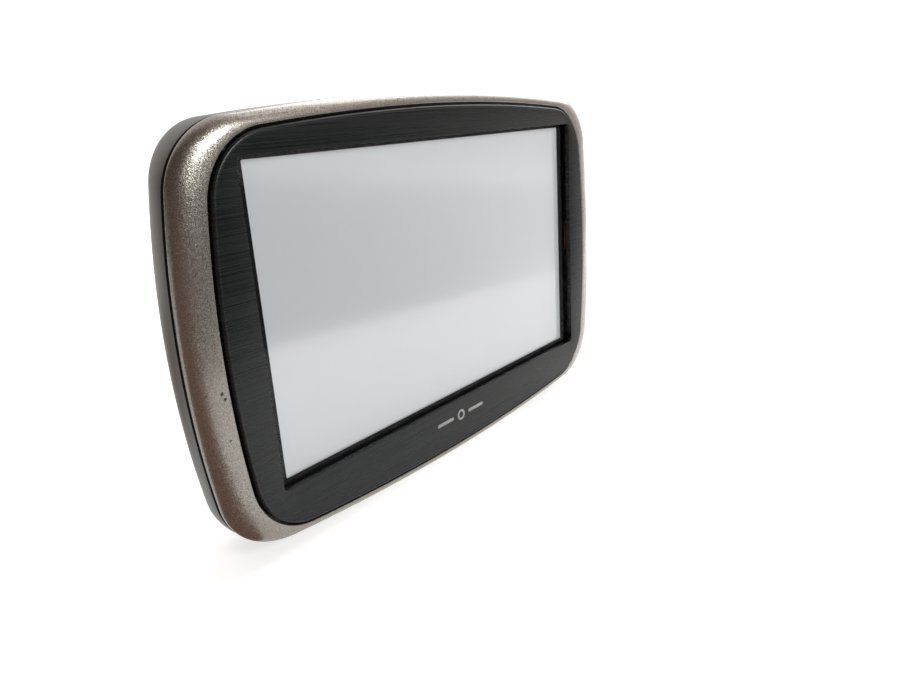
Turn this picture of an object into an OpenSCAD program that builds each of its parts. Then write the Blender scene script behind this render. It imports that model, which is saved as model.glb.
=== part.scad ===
// Portable GPS navigator standing on its lower edge, in millimetres.
// X points right as seen from the front, the screen faces -Y and Z points up.
// Each piece is drawn lying on its back: x right, y up the face, z forward from the back,
// and stand() then turns it upright. Depths are counted from the front face.

/* [Case] */
// Width over the trim band
case_w = 143.6; // [142:0.1:146]
// Height over the trim band
case_h = 90; // [89:0.1:92]
// Depth from the front face to the back
case_d = 20.5; // [20:0.1:22]
// Radius of the long top and bottom edges
long_edge_r = 552; // [500:10:700]
// Radius of the two short edges
short_edge_r = 190; // [170:5:230]
// Radius of the four case corners
corner_r = 15.1; // [14:0.1:16]
// Wall thickness of the rear cover
wall = 1.8; // [1.6:0.1:2]
// How far the sides sweep in towards the back
side_sweep = 16.8; // [15:0.1:18]
// How far the top and the bottom sweep in towards the back
end_sweep = 6; // [5:0.1:7]

/* [Trim band] */
// Depth of the seam behind the front face
seam_depth = 3.5; // [3.5:0.05:3.6]
// Width of the dark seam
seam_gap = 0.9; // [0.7:0.05:0.95]
// How far the seam lies below the surface
seam_sink = 0.1; // [0.1:0.05:0.4]
// How far the band's lip sits behind the front face
lip_depth = 0.45; // [0.3:0.05:0.6]
// Wall thickness of the band at its seam edge
band_wall = 0.75; // [0.6:0.05:0.8]

/* [Bezel] */
// Distance from the case side to the bezel edge
bezel_margin_x = 7.2; // [6.8:0.1:7.4]
// Distance from the case top to the bezel edge
bezel_margin_y = 3; // [2.9:0.05:3.3]
// How far the bezel sits below the middle of the case
bezel_drop = 0.3; // [0:0.1:0.4]
// Radius of the bezel corners
bezel_corner_r = 14.1; // [13:0.1:15]
// Radius of the bezel's rounded rim
rim_r = 0.6; // [0.4:0.1:0.8]
// Width of the groove between bezel and band
groove_w = 0.5; // [0.4:0.1:0.7]
// Thickness of the bezel face
face_t = 1.3; // [1.2:0.1:1.4]

/* [Screen] */
// Width of the window
window_w = 113.4; // [110:0.1:114]
// Height of the window
window_h = 65.7; // [62:0.1:66]
// Radius of the window corners
window_r = 1.2; // [0.6:0.1:2]
// How far the window centre is above the case centre
window_lift = 2.05; // [1.5:0.05:2.3]

/* [Back] */
// Width of the seat that the cradle holds
seat_w = 46; // [44:1:48]
// Height of the seat
seat_h = 34; // [32:1:35]
// Depth of the seat
seat_sink = 0.8; // [0.5:0.1:1]
// Diameter of one speaker hole
grille_hole = 1.5; // [1:0.1:1.7]
// Rings of speaker holes round the middle one
grille_rings = 3; // [1:1:3]

/* [Power button] */
// Place of the button along the top edge
button_x = 34; // [32:1:36]
// Length of the button
button_w = 12; // [10:0.5:14]
// Width of the button
button_t = 3; // [2.6:0.1:3.2]

/* [Hidden] */

$fn = 48;
// Small overshoot so that cuts pass cleanly through a face
cut = 0.2;
// Clearance between neighbouring inner pieces
play = 0.15;

// Steps along one quarter of an outline: short edge, corner and long edge
side_steps = 5;
corner_steps = 10;
long_steps = 9;

half_w = case_w / 2;
half_h = case_h / 2;
bezel_a = half_w - bezel_margin_x;
bezel_b = half_h - bezel_margin_y;
bezel_short_r = short_edge_r + 29;

// The bezel's hidden flange, which the band clamps
flange_front = 2.4;
flange_back = 3.4;
flange_reach = 1.7;

// The rear cover
cover_front = seam_depth + seam_gap;
cover_a = half_w - 0.1;
cover_b = half_h - 0.1;
cover_back_corner_r = 11;
// Angles at which the swept wall has a ring, 0 at the seam and 90 at the back
sweep_angles = [0, 12, 24, 35, 45, 54, 62, 70, 77, 84, 90];
// Power of the tighter curve of the top and bottom walls
end_power = 4.5;

// Depths of the stack behind the bezel face
gasket_t = 0.2;
touch_t = 1.1;
touch_front = face_t + gasket_t;
glass_front = touch_front + touch_t + play;
glass_t = 1.7;
diffuser_front = glass_front + glass_t + 0.05;
diffuser_t = 0.3;
guide_front = diffuser_front + diffuser_t;
guide_t = 1.1;
reflector_front = guide_front + guide_t;
reflector_t = 0.2;
tray_t = 0.3;
// Clearance round the tray inside the bezel, and the extra room where the touch ribbon passes
tray_play = 0.2;
flex_relief = 0.3;
tray_front = glass_front + play;
tray_back = reflector_front + reflector_t + tray_t;
chassis_front = tray_back + play;
chassis_t = 1.3;
chassis_back = chassis_front + chassis_t;
rib_front = 3.6;
board_front = chassis_back + 1.6;
board_t = 1.2;
board_back = board_front + board_t;

// Outer sizes of the screen stack
touch_w = window_w + 2.6;
touch_h = window_h + 2.6;
tray_w = touch_w + 0.2;
tray_h = touch_h + 0.2;
glass_w = tray_w - 2 * tray_t - 0.4;
glass_h = tray_h - 2 * tray_t - 0.4;
sheet_w = glass_w - 0.4;
sheet_h = glass_h - 0.4;
led_bar_w = 1.4;
led_count = 8;

// The chassis
chassis_a = half_w - 3;
chassis_b = half_h - 2.8;
chassis_corner_r = corner_r - 2.2;
rib_t = 1.3;
standoff_r = 2;

// Main board: an L, with the battery in the notch
board_left = -60;
board_right = 64;
board_half_h = 38;
notch_x = 7;
notch_y = 1;

// Screws that hold the case, seen from the front, and screws that hold the board
case_screw_at = [[-50, -31], [50, -31], [-50, 31], [50, 31]];
case_screw_r = 1;
case_head_r = 2;
case_head_t = 1.3;
case_head_sink = 0.4;
boss_r = 3;
board_screw_at = [[-56, -5], [-22, -35], [59, 34], [59, -34], [10.5, 34]];
board_screw_r = 0.8;
board_head_r = 1.6;
board_head_t = 0.8;

// Battery, to the left of the notch edge and above it
battery_box = [50, 34, 5.5];
battery_at = [-45, 3];
pad_t = 0.5;

// Speaker, facing the back
speaker_at = [-38, -12];
speaker_r = 14;
cloth_t = 0.2;
basket_t = 2.2;
magnet_r = 8;
magnet_t = 3;
grille_pitch = 2.7;

// Cradle seat on the back, with its contacts and two latch pockets
seat_at = [0, -12];
seat_corner_r = 3;
pocket_box = [12, 2.6, 1.4];
contact_at = [0, -24];
contact_box = [19, 5];
contact_count = 6;
contact_pitch = 2.8;
contact_r = 0.8;
label_box = [60, 20];
label_at = [0, 22];
label_t = 0.2;

// Ports
usb_x = 26;
usb_box = [7.7, 9.2, 3.9];
usb_wall = 0.35;
usb_mouth = half_h - wall - 0.6;
card_y = -9;
card_box = [14.3, 14.6, 1.8];
card_wall = 0.2;
card_mouth = 66.2;
card_slot_w = 12.4;
card_slot_t = 1.5;

// Power switch, pushed from the top edge
button_depth = 12;
button_proud = 0.2;
button_gap = 0.12;
button_flange = 0.9;
switch_top = 39.5;
switch_box = [6, 3.5, 1.7];
stem_box = [2.6, 0.9, 1];

function depth_z(d) = case_d - d;

// Centre of the corner arc that touches a long edge and a short edge from inside
function corner_centre(a, b, rl, rs, r) =
    let (
        lift = rl - b,
        reach = rs - a,
        m = rl - r,
        n = rs - r,
        gap = norm([reach, lift]),
        along = (m * m - n * n + gap * gap) / (2 * gap),
        side = sqrt(m * m - along * along))
    [(side * lift - along * reach) / gap, (along * lift + side * reach) / gap - lift];

// Points of one quarter of a barrel outline, from the short edge to the long edge
function quarter(a, b, rl, rs, r) =
    let (
        c = corner_centre(a, b, rl, rs, r),
        low = atan2(c[1], c[0] + rs - a),
        high = atan2(c[1] + rl - b, c[0]))
    concat(
        [for (i = [0 : side_steps])
            let (t = low * i / side_steps)
            [a - rs + rs * cos(t), rs * sin(t)]],
        [for (i = [1 : corner_steps])
            let (t = low + (high - low) * i / corner_steps)
            [c[0] + r * cos(t), c[1] + r * sin(t)]],
        [for (i = [1 : long_steps])
            let (t = high + (90 - high) * i / long_steps)
            [rl * cos(t), b - rl + rl * sin(t)]]);

// Closed outline with bowed edges: half sizes a and b, corner radius r
function barrel(a, b, r, rl = long_edge_r, rs = short_edge_r) =
    let (
        q = quarter(a, b, rl, rs, r),
        n = len(q))
    concat(
        q,
        [for (i = [n - 2 : -1 : 0]) [-q[i][0], q[i][1]]],
        [for (i = [1 : n - 1]) [-q[i][0], -q[i][1]]],
        [for (i = [n - 2 : -1 : 1]) [q[i][0], -q[i][1]]]);

function lowered(points, by) = [for (p = points) [p[0], p[1] - by]];

// The bezel's outline, grown outwards by g
function bezel_outline(g = 0) =
    lowered(barrel(bezel_a + g, bezel_b + g, bezel_corner_r + g, long_edge_r + g, bezel_short_r + g),
        bezel_drop);

// Rings of the rear cover's swept wall, kept t inside the outer surface
function cover_rings(t) =
    [for (k = [len(sweep_angles) - 1 : -1 : 0])
        let (
            s = sin(sweep_angles[k]),
            side_in = (side_sweep - t) * (1 - cos(sweep_angles[k])),
            end_in = (end_sweep - t) * (1 - pow(1 - pow(s, end_power), 1 / end_power)),
            r = corner_r - t + (cover_back_corner_r - corner_r) * s,
            z = depth_z(cover_front + (case_d - cover_front - t) * s))
        [barrel(cover_a - t - side_in, cover_b - t - end_in, r), z]];

// Solid skinned over rings of points, given from the lowest to the highest
module loft(rings) {
    n = len(rings[0][0]);
    m = len(rings);
    points = [for (ring = rings) for (p = ring[0]) [p[0], p[1], ring[1]]];
    sides = [for (k = [0 : m - 2]) for (i = [0 : n - 1])
        let (
            j = (i + 1) % n,
            q = k * n)
        each [[q + i, q + n + i, q + n + j], [q + i, q + n + j, q + j]]];
    floor_face = [for (i = [0 : n - 1]) i];
    top_face = [for (i = [n - 1 : -1 : 0]) (m - 1) * n + i];
    polyhedron(points = points, faces = concat([floor_face], sides, [top_face]));
}

// Plate of a given outline between two depths
module plate(outline, front, back) {
    translate([0, 0, depth_z(back)])
        linear_extrude(back - front)
            polygon(outline);
}

// Rectangular sheet centred on the window, between two depths
module sheet(w, h, front, back) {
    translate([-w / 2, window_lift - h / 2, depth_z(back)])
        cube([w, h, back - front]);
}

// Block with rounded corners seen from the front, centred in x and y
module soft_block(w, h, t, r) {
    linear_extrude(t)
        rounded_area(w, h, r);
}

module rounded_area(w, h, r) {
    square([w - 2 * r, h], center = true);
    square([w, h - 2 * r], center = true);
    for (sx = [-1, 1], sy = [-1, 1])
        translate([sx * (w / 2 - r), sy * (h / 2 - r)])
            circle(r);
}

// Turns a lying piece upright, with its lower edge on the ground
module stand() {
    translate([0, case_d / 2, case_h / 2])
        rotate([90, 0, 0])
            children();
}

module front_bezel() {
    rim_steps = 5;
    rim = [for (k = [0 : rim_steps])
        let (t = 90 * k / rim_steps)
        [bezel_outline(-rim_r * (1 - cos(t))), depth_z(rim_r * (1 - sin(t)))]];
    color([0.15, 0.16, 0.17])
        stand()
            difference() {
                union() {
                    loft(concat([[bezel_outline(), depth_z(flange_front)]], rim));
                    plate(bezel_outline(flange_reach), flange_front, flange_back);
                }
                translate([0, window_lift, depth_z(face_t) - cut])
                    soft_block(window_w, window_h, face_t + 2 * cut, window_r);
                sheet(tray_w + 2 * tray_play, tray_h + 2 * tray_play, face_t, flange_back + cut);
                translate([-touch_flex_wall - 2 * tray_play, window_lift - touch_flex_w / 2 - play,
                    depth_z(flange_back) - cut])
                    cube([2 * tray_play + flex_relief, touch_flex_w + 2 * play,
                        flange_back - touch_front - touch_t + play + cut]);
            }
}

module window_gasket() {
    color([0.08, 0.08, 0.08])
        stand()
            difference() {
                sheet(touch_w - 0.4, touch_h - 0.4, face_t, touch_front);
                sheet(window_w + 1, window_h + 1, face_t - cut, touch_front + cut);
            }
}

module trim_band() {
    crown_steps = 8;
    edge_round = 0.15;
    lip_reach = groove_w + 0.3;
    lip_a = bezel_a + lip_reach;
    lip_b = bezel_b + lip_reach;
    lip_corner = bezel_corner_r + lip_reach;
    crown = [for (k = [0 : crown_steps])
        let (
            t = 90 * k / crown_steps,
            out = cos(t),
            up = sin(t),
            a = lip_a + (half_w - lip_a) * out,
            b = lip_b + (half_h - lip_b) * out,
            rs = bezel_short_r + (short_edge_r - bezel_short_r) * out,
            r = lip_corner + (corner_r - lip_corner) * out)
        [lowered(barrel(a, b, r, long_edge_r, rs), bezel_drop * (1 - out)),
            depth_z(seam_depth - edge_round - (seam_depth - edge_round - lip_depth) * up)]];
    foot = [[barrel(half_w - edge_round, half_h - edge_round, corner_r - edge_round),
        depth_z(seam_depth)]];
    lip = [[bezel_outline(groove_w + 0.05), depth_z(lip_depth + 0.06)]];
    color([0.66, 0.62, 0.55])
        stand()
            difference() {
                loft(concat(foot, crown, lip));
                plate(bezel_outline(groove_w), lip_depth - 1, flange_front);
                plate(bezel_outline(flange_reach + play), flange_front - play, seam_depth + cut);
            }
}

module seam_gasket() {
    ring_in = band_wall + seam_sink;
    color([0.05, 0.05, 0.05])
        stand()
            difference() {
                plate(barrel(half_w - seam_sink, half_h - seam_sink, corner_r - seam_sink),
                    seam_depth, cover_front);
                plate(barrel(half_w - ring_in, half_h - ring_in, corner_r - ring_in),
                    seam_depth - cut, cover_front + cut);
            }
}

// Holes of the speaker grille: one in the middle and rings of six, twelve and eighteen
module grille_holes() {
    for (ring = [0 : grille_rings], i = [0 : max(6 * ring, 1) - 1])
        rotate([0, 0, 60 * i / max(ring, 1)])
            translate([ring * grille_pitch, 0, -cut])
                cylinder(d = grille_hole, h = wall + 2 * cut);
}

// Slot through the top wall for the power button, with a clearance g round it
module button_slot(g) {
    translate([button_x, half_h - 2 * wall, depth_z(button_depth)])
        rotate([-90, 0, 0])
            translate([0, 0, -cut])
                soft_block(button_w + 2 * g, button_t + 2 * g, 3 * wall, button_t / 2 + g - 0.05);
}

module rear_cover() {
    board_z = depth_z(board_back);
    color([0.47, 0.48, 0.45])
        stand()
            difference() {
                union() {
                    difference() {
                        loft(cover_rings(0));
                        loft(concat(cover_rings(wall),
                            [[barrel(cover_a - wall, cover_b - wall, corner_r - wall),
                                depth_z(cover_front) + cut]]));
                    }
                    for (p = case_screw_at)
                        translate([p[0], p[1], wall - cut])
                            cylinder(r = boss_r, h = depth_z(chassis_back) - wall + cut);
                    translate([speaker_at[0], speaker_at[1], wall - cut])
                        difference() {
                            cylinder(r = speaker_r + 1.2, h = basket_t + cloth_t + cut);
                            translate([0, 0, -cut])
                                cylinder(r = speaker_r + play, h = basket_t + cloth_t + 3 * cut);
                        }
                }
                for (p = case_screw_at)
                    translate([p[0], p[1], -cut]) {
                        cylinder(r = case_screw_r + play, h = case_d);
                        cylinder(r = case_head_r + 0.3, h = case_head_sink + case_head_t + cut);
                    }
                translate([speaker_at[0], speaker_at[1], 0])
                    grille_holes();
                button_slot(button_gap);
                translate([seat_at[0], seat_at[1], -cut])
                    soft_block(seat_w, seat_h, seat_sink + cut, seat_corner_r);
                for (s = [-1, 1])
                    translate([seat_at[0] - pocket_box[0] / 2,
                        seat_at[1] + s * (seat_h / 2 - pocket_box[1] / 2) - pocket_box[1] / 2, -cut])
                        cube([pocket_box[0], pocket_box[1], pocket_box[2] + cut]);
                translate([contact_at[0], contact_at[1], -cut])
                    soft_block(contact_box[0] + 0.3, contact_box[1] + 0.3, wall + 2 * cut, 1);
                translate([label_at[0], label_at[1], -cut])
                    soft_block(label_box[0] + 0.4, label_box[1] + 0.4, label_t + cut, 1.5);
                translate([usb_x, -half_h, board_z - usb_box[2] / 2])
                    rotate([90, 0, 0])
                        translate([0, 0, -3 * wall])
                            soft_block(usb_box[0] + 0.8, usb_box[2] + 0.8, 6 * wall, 1);
                translate([half_w - 3 * wall, card_y - card_slot_w / 2,
                    board_z - card_box[2] / 2 - card_slot_t / 2])
                    cube([6 * wall, card_slot_w, card_slot_t]);
                translate([half_w + 1, card_y, board_z - card_box[2] / 2])
                    sphere(r = 4.5);
            }
}

module rating_label() {
    color([0.8, 0.8, 0.78])
        stand()
            translate([label_at[0], label_at[1], 0.02])
                soft_block(label_box[0], label_box[1], label_t - 0.02, 1.3);
}

module touch_panel() {
    color([0.75, 0.79, 0.8])
        stand()
            sheet(touch_w, touch_h, touch_front, touch_front + touch_t);
}

// Ribbon cable that drops beside the tray, passes the chassis and turns in to its socket
module ribbon(w, start, wall_at, t) {
    turn = chassis_back + 0.55;
    reach = 5;
    translate([-w / 2, 0, 0]) {
        translate([0, wall_at, depth_z(turn + t)])
            cube([w, t, turn + t - start]);
        translate([0, wall_at, depth_z(turn + t)])
            cube([w, reach, t]);
        translate([0, wall_at, depth_z(start + t)])
            cube([w, 0.35 + t, t]);
    }
}

flex_t = 0.12;
lcd_flex_w = 26;
touch_flex_w = 8;
lcd_flex_wall = window_lift - tray_h / 2 - 0.26;
touch_flex_wall = -tray_w / 2 - 0.26;

module lcd_flex() {
    color([0.75, 0.5, 0.15])
        stand()
            ribbon(lcd_flex_w, tray_front + 0.6, lcd_flex_wall, flex_t);
}

module touch_flex() {
    color([0.75, 0.5, 0.15])
        stand()
            translate([0, window_lift, 0])
                rotate([0, 0, 90])
                    ribbon(touch_flex_w, touch_front + touch_t, touch_flex_wall, flex_t);
}

module flex_sockets() {
    socket_box = [4, 1.1];
    gap = 5.2;
    low = depth_z(board_front);
    color([0.85, 0.83, 0.75])
        stand() {
            translate([-lcd_flex_w / 2 - 1, lcd_flex_wall + gap, low])
                cube([lcd_flex_w + 2, socket_box[0], socket_box[1]]);
            translate([-touch_flex_wall - gap - socket_box[0], window_lift - touch_flex_w / 2 - 1, low])
                cube([socket_box[0], touch_flex_w + 2, socket_box[1]]);
        }
}

module lcd_glass() {
    color([0.78, 0.82, 0.84])
        stand()
            sheet(glass_w, glass_h, glass_front, glass_front + glass_t);
}

module lcd_frame() {
    color([0.75, 0.76, 0.77])
        stand()
            difference() {
                sheet(tray_w, tray_h, tray_front, tray_back);
                sheet(tray_w - 2 * tray_t, tray_h - 2 * tray_t, tray_front - cut, tray_back - tray_t);
                translate([-lcd_flex_w / 2 - 0.5, window_lift - tray_h / 2 - cut, depth_z(tray_front + 1)])
                    cube([lcd_flex_w + 1, 2 * tray_t + cut, 1 + cut]);
            }
}

module diffuser_sheet() {
    color([0.95, 0.95, 0.93])
        stand()
            sheet(sheet_w, sheet_h, diffuser_front, diffuser_front + diffuser_t);
}

module light_guide() {
    bar = led_bar_w + play;
    color([0.85, 0.93, 0.95])
        stand()
            translate([-sheet_w / 2 + bar, window_lift - sheet_h / 2, depth_z(guide_front + guide_t)])
                cube([sheet_w - bar, sheet_h, guide_t]);
}

module reflector_sheet() {
    color([0.97, 0.97, 0.97])
        stand()
            sheet(sheet_w, sheet_h, reflector_front, reflector_front + reflector_t);
}

// Row of side-firing LEDs along the left edge of the light guide
module backlight_leds() {
    step = sheet_h / led_count;
    led_l = 4;
    color([0.95, 0.9, 0.6])
        stand()
            for (i = [0 : led_count - 1])
                translate([-sheet_w / 2, window_lift - sheet_h / 2 + step * (i + 0.5) - led_l / 2,
                    depth_z(guide_front + guide_t)])
                    cube([led_bar_w, led_l, guide_t - 0.1]);
}

module mid_chassis() {
    rib_w = tray_w + 1.2;
    rib_h = tray_h + 1.2;
    color([0.25, 0.26, 0.27])
        stand()
            difference() {
                union() {
                    plate(barrel(chassis_a, chassis_b, chassis_corner_r), chassis_front, chassis_back);
                    translate([0, window_lift, depth_z(chassis_front + cut)])
                        soft_block(rib_w + 2 * rib_t, rib_h + 2 * rib_t, chassis_front + cut - rib_front, 2);
                    for (p = board_screw_at)
                        translate([p[0], p[1], depth_z(board_front)])
                            cylinder(r = standoff_r, h = board_front - chassis_front);
                }
                sheet(rib_w, rib_h, rib_front - cut, chassis_front);
                for (p = board_screw_at)
                    translate([p[0], p[1], depth_z(board_front) - cut])
                        cylinder(r = board_screw_r + 0.05, h = board_front - chassis_front + 2 * cut);
                for (p = case_screw_at)
                    translate([p[0], p[1], depth_z(chassis_back) - cut])
                        cylinder(r = case_screw_r + 0.05, h = chassis_t + 2 * cut);
                translate([-lcd_flex_w / 2 - 1, lcd_flex_wall - 0.3, depth_z(chassis_back) - cut])
                    cube([lcd_flex_w + 2, 1, chassis_t + 2 * cut]);
                translate([-touch_flex_wall - 0.7, window_lift - touch_flex_w / 2 - 1,
                    depth_z(chassis_back) - cut])
                    cube([1, touch_flex_w + 2, chassis_t + 2 * cut]);
            }
}

module main_board() {
    bevel = 3;
    color([0.1, 0.35, 0.2])
        stand()
            difference() {
                translate([0, 0, depth_z(board_back)])
                    linear_extrude(board_t)
                        polygon([
                            [board_left + bevel, -board_half_h],
                            [board_right - bevel, -board_half_h],
                            [board_right, bevel - board_half_h],
                            [board_right, board_half_h - bevel],
                            [board_right - bevel, board_half_h],
                            [notch_x, board_half_h],
                            [notch_x, notch_y],
                            [board_left, notch_y],
                            [board_left, bevel - board_half_h]]);
                for (p = case_screw_at)
                    translate([p[0], p[1], depth_z(board_back) - cut])
                        cylinder(r = boss_r + 0.4, h = board_t + 2 * cut);
                for (p = board_screw_at)
                    translate([p[0], p[1], depth_z(board_back) - cut])
                        cylinder(r = board_screw_r + 0.2, h = board_t + 2 * cut);
            }
}

// Screening can over a corner of the board: a thin box open towards the board
module can(at, w, h, t) {
    skin = 0.2;
    color([0.78, 0.79, 0.8])
        stand()
            translate([at[0] - w / 2, at[1] - h / 2, depth_z(board_back + t)])
                difference() {
                    cube([w, h, t]);
                    translate([skin, skin, skin])
                        cube([w - 2 * skin, h - 2 * skin, t]);
                }
}

// Chip on the back of the board
module chip(at, w, h, t) {
    stand()
        translate([at[0] - w / 2, at[1] - h / 2, depth_z(board_back + t)])
            cube([w, h, t]);
}

processor_at = [25, -10];
processor_can_w = 27;
gps_at = [49, 14];
gps_can_box = [16, 14];
can_t = 2;
antenna_at = [27, 23];
antenna_w = 25;
antenna_t = 4;
antenna_plate_w = 21;
antenna_plate_t = 0.1;

module processor_can() {
    can(processor_at, processor_can_w, processor_can_w, can_t);
}

module processor_chip() {
    color([0.1, 0.1, 0.1])
        chip([processor_at[0] - 5, processor_at[1] + 4], 13, 13, 1.2);
}

module memory_chips() {
    color([0.12, 0.12, 0.12])
        for (s = [-1, 1])
            chip([processor_at[0] + 7.5, processor_at[1] + 5.5 * s], 8, 10, 1);
}

module gps_can() {
    can(gps_at, gps_can_box[0], gps_can_box[1], can_t);
}

module gps_chip() {
    color([0.12, 0.12, 0.12])
        chip(gps_at, 7, 7, 0.9);
}

module antenna_block() {
    color([0.75, 0.68, 0.55])
        chip(antenna_at, antenna_w, antenna_w, antenna_t);
}

module antenna_plate() {
    color([0.85, 0.85, 0.86])
        stand()
            translate([antenna_at[0] - antenna_plate_w / 2, antenna_at[1] - antenna_plate_w / 2,
                depth_z(board_back + antenna_t + antenna_plate_t)])
                cube([antenna_plate_w, antenna_plate_w, antenna_plate_t]);
}

module battery() {
    color([0.6, 0.62, 0.64])
        stand()
            translate([battery_at[0] + battery_box[0] / 2, battery_at[1] + battery_box[1] / 2,
                depth_z(chassis_back + pad_t + battery_box[2])])
                soft_block(battery_box[0], battery_box[1], battery_box[2], 2);
}

module battery_pad() {
    margin = 4;
    color([0.9, 0.9, 0.85])
        stand()
            translate([battery_at[0] + margin, battery_at[1] + margin, depth_z(chassis_back + pad_t)])
                cube([battery_box[0] - 2 * margin, battery_box[1] - 2 * margin, pad_t]);
}

lead_y = [6, 7.6];
lead_r = 0.55;
lead_end = 10;

// The two short wires from the battery to its socket
module battery_lead() {
    start = battery_at[0] + battery_box[0];
    color([0.7, 0.1, 0.1])
        stand()
            for (y = lead_y)
                translate([start, y, depth_z(board_back + 1.2)])
                    rotate([0, 90, 0])
                        cylinder(r = lead_r, h = lead_end - start);
}

module battery_socket() {
    color([0.92, 0.92, 0.88])
        chip([lead_end + 1.75, (lead_y[0] + lead_y[1]) / 2], 3.5, 4.6, 2.4);
}

module speaker_basket() {
    back = wall + cloth_t;
    color([0.2, 0.2, 0.21])
        stand()
            translate([speaker_at[0], speaker_at[1], back])
                difference() {
                    cylinder(r = speaker_r, h = basket_t);
                    translate([0, 0, -cut])
                        cylinder(r = speaker_r - 1.6, h = basket_t - 0.6 + cut);
                    cylinder(r = magnet_r - 2, h = basket_t + cut);
                }
}

module speaker_magnet() {
    color([0.6, 0.6, 0.62])
        stand()
            translate([speaker_at[0], speaker_at[1], wall + cloth_t + basket_t])
                cylinder(r = magnet_r, h = magnet_t);
}

// Paper cone with its rolled edge, seen through the grille
module speaker_cone() {
    outer = speaker_r - 1.8;
    color([0.15, 0.15, 0.15])
        stand()
            translate([speaker_at[0], speaker_at[1], wall + cloth_t + 0.1])
                rotate_extrude()
                    polygon([[0, 0.5], [3.4, 0.5], [4.2, 1], [outer - 2, 0.2], [outer, 0.2],
                        [outer, 0.4], [outer - 2, 0.4], [4.2, 1.25], [3.4, 0.75], [0, 0.75]]);
}

module speaker_cloth() {
    color([0.1, 0.1, 0.1])
        stand()
            translate([speaker_at[0], speaker_at[1], wall])
                cylinder(r = speaker_r - 1, h = cloth_t);
}

// Trims a piece to the curve of the cover's top edge, sunk by t below its outer surface
module under_roof(t) {
    intersection() {
        children();
        translate([0, half_h - 0.1 - t - long_edge_r, 0])
            cylinder(r = long_edge_r, h = case_d, $fn = 720);
    }
}

module power_button() {
    depth = depth_z(button_depth);
    flange_t = 0.7;
    post_bottom = switch_top + stem_box[1];
    color([0.2, 0.2, 0.21])
        stand() {
            under_roof(-button_proud)
                translate([button_x, switch_top + stem_box[1] + 0.4, depth])
                    rotate([-90, 0, 0])
                        soft_block(button_w, button_t, 5, button_t / 2 - 0.05);
            under_roof(wall + play)
                translate([button_x - button_w / 2 - button_flange,
                    switch_top + stem_box[1] + 0.25, depth - button_t / 2 - button_flange])
                    cube([button_w + 2 * button_flange, flange_t, button_t + 2 * button_flange]);
            translate([button_x - stem_box[0] / 2, post_bottom, depth - 0.6])
                cube([stem_box[0], 0.5, 1.2]);
        }
}

module switch_stem() {
    color([0.1, 0.1, 0.1])
        stand()
            translate([button_x - stem_box[0] / 2, switch_top - 0.6, depth_z(board_back) - 1.35])
                cube([stem_box[0], stem_box[1] + 0.6, stem_box[2]]);
}

module switch_body() {
    color([0.8, 0.8, 0.78])
        stand()
            difference() {
                translate([button_x - switch_box[0] / 2, switch_top - switch_box[1],
                    depth_z(board_back + switch_box[2])])
                    cube([switch_box[0], switch_box[1], switch_box[2]]);
                translate([button_x - stem_box[0] / 2 - 0.1, switch_top - 1.2,
                    depth_z(board_back) - 1.45])
                    cube([stem_box[0] + 0.2, 1.2 + cut, stem_box[2] + 0.2]);
            }
}

module usb_shell() {
    color([0.8, 0.81, 0.82])
        stand()
            translate([usb_x - usb_box[0] / 2, -usb_mouth, depth_z(board_back + usb_box[2])])
                difference() {
                    cube(usb_box);
                    translate([usb_wall, -cut, usb_wall])
                        cube([usb_box[0] - 2 * usb_wall, usb_box[1] - 0.8 + cut,
                            usb_box[2] - 2 * usb_wall]);
                }
}

module usb_tongue() {
    root_t = 1.6;
    inner = [usb_box[0] - 2 * usb_wall - 0.1, usb_box[2] - 2 * usb_wall - 0.1];
    color([0.08, 0.08, 0.08])
        stand()
            translate([usb_x, -usb_mouth + usb_box[1] - 0.8 - root_t,
                depth_z(board_back + usb_box[2] / 2)]) {
                translate([-inner[0] / 2, 0, -inner[1] / 2])
                    cube([inner[0], root_t, inner[1]]);
                translate([-2.3, -5.4, -0.45])
                    cube([4.6, 5.5, 0.9]);
            }
}

module card_shell() {
    color([0.8, 0.81, 0.82])
        stand()
            translate([card_mouth - card_box[0], card_y - card_box[1] / 2,
                depth_z(board_back + card_box[2])])
                difference() {
                    cube(card_box);
                    translate([card_wall, card_wall, card_wall])
                        cube([card_box[0], card_box[1] - 2 * card_wall, card_box[2] - 2 * card_wall]);
                }
}

slider_box = [2.4, 11, 1];
slider_rest = 4.2;
spring_r = 0.55;

module card_slider() {
    low = depth_z(board_back + card_box[2] / 2) - slider_box[2] / 2;
    color([0.12, 0.12, 0.12])
        stand()
            translate([card_mouth - card_box[0] + slider_rest, card_y - card_box[1] / 2 + 0.5, low]) {
                cube(slider_box);
                cube([7, 1.6, slider_box[2]]);
            }
}

module card_spring() {
    color([0.7, 0.71, 0.72])
        stand()
            translate([card_mouth - card_box[0] + card_wall + 0.05,
                card_y - card_box[1] / 2 + 1.3, depth_z(board_back + card_box[2] / 2)])
                rotate([0, 90, 0])
                    cylinder(r = spring_r, h = slider_rest - card_wall - 0.15);
}

module contact_block() {
    flange_t = 0.8;
    color([0.1, 0.1, 0.1])
        stand()
            difference() {
                translate([contact_at[0], contact_at[1], 0]) {
                    translate([0, 0, seat_sink])
                        soft_block(contact_box[0], contact_box[1], 3.4, 0.9);
                    translate([0, 0, wall + 0.1])
                        soft_block(contact_box[0] + 2, contact_box[1] + 2, flange_t, 1);
                    translate([0, 0, 3])
                        soft_block(contact_box[0] - 2, contact_box[1] - 1, depth_z(board_back) - 3, 0.5);
                }
                for (i = [0 : contact_count - 1])
                    translate([contact_at[0] + (i - (contact_count - 1) / 2) * contact_pitch,
                        contact_at[1], -cut])
                        cylinder(r = contact_r + 0.05, h = case_d);
            }
}

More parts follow.
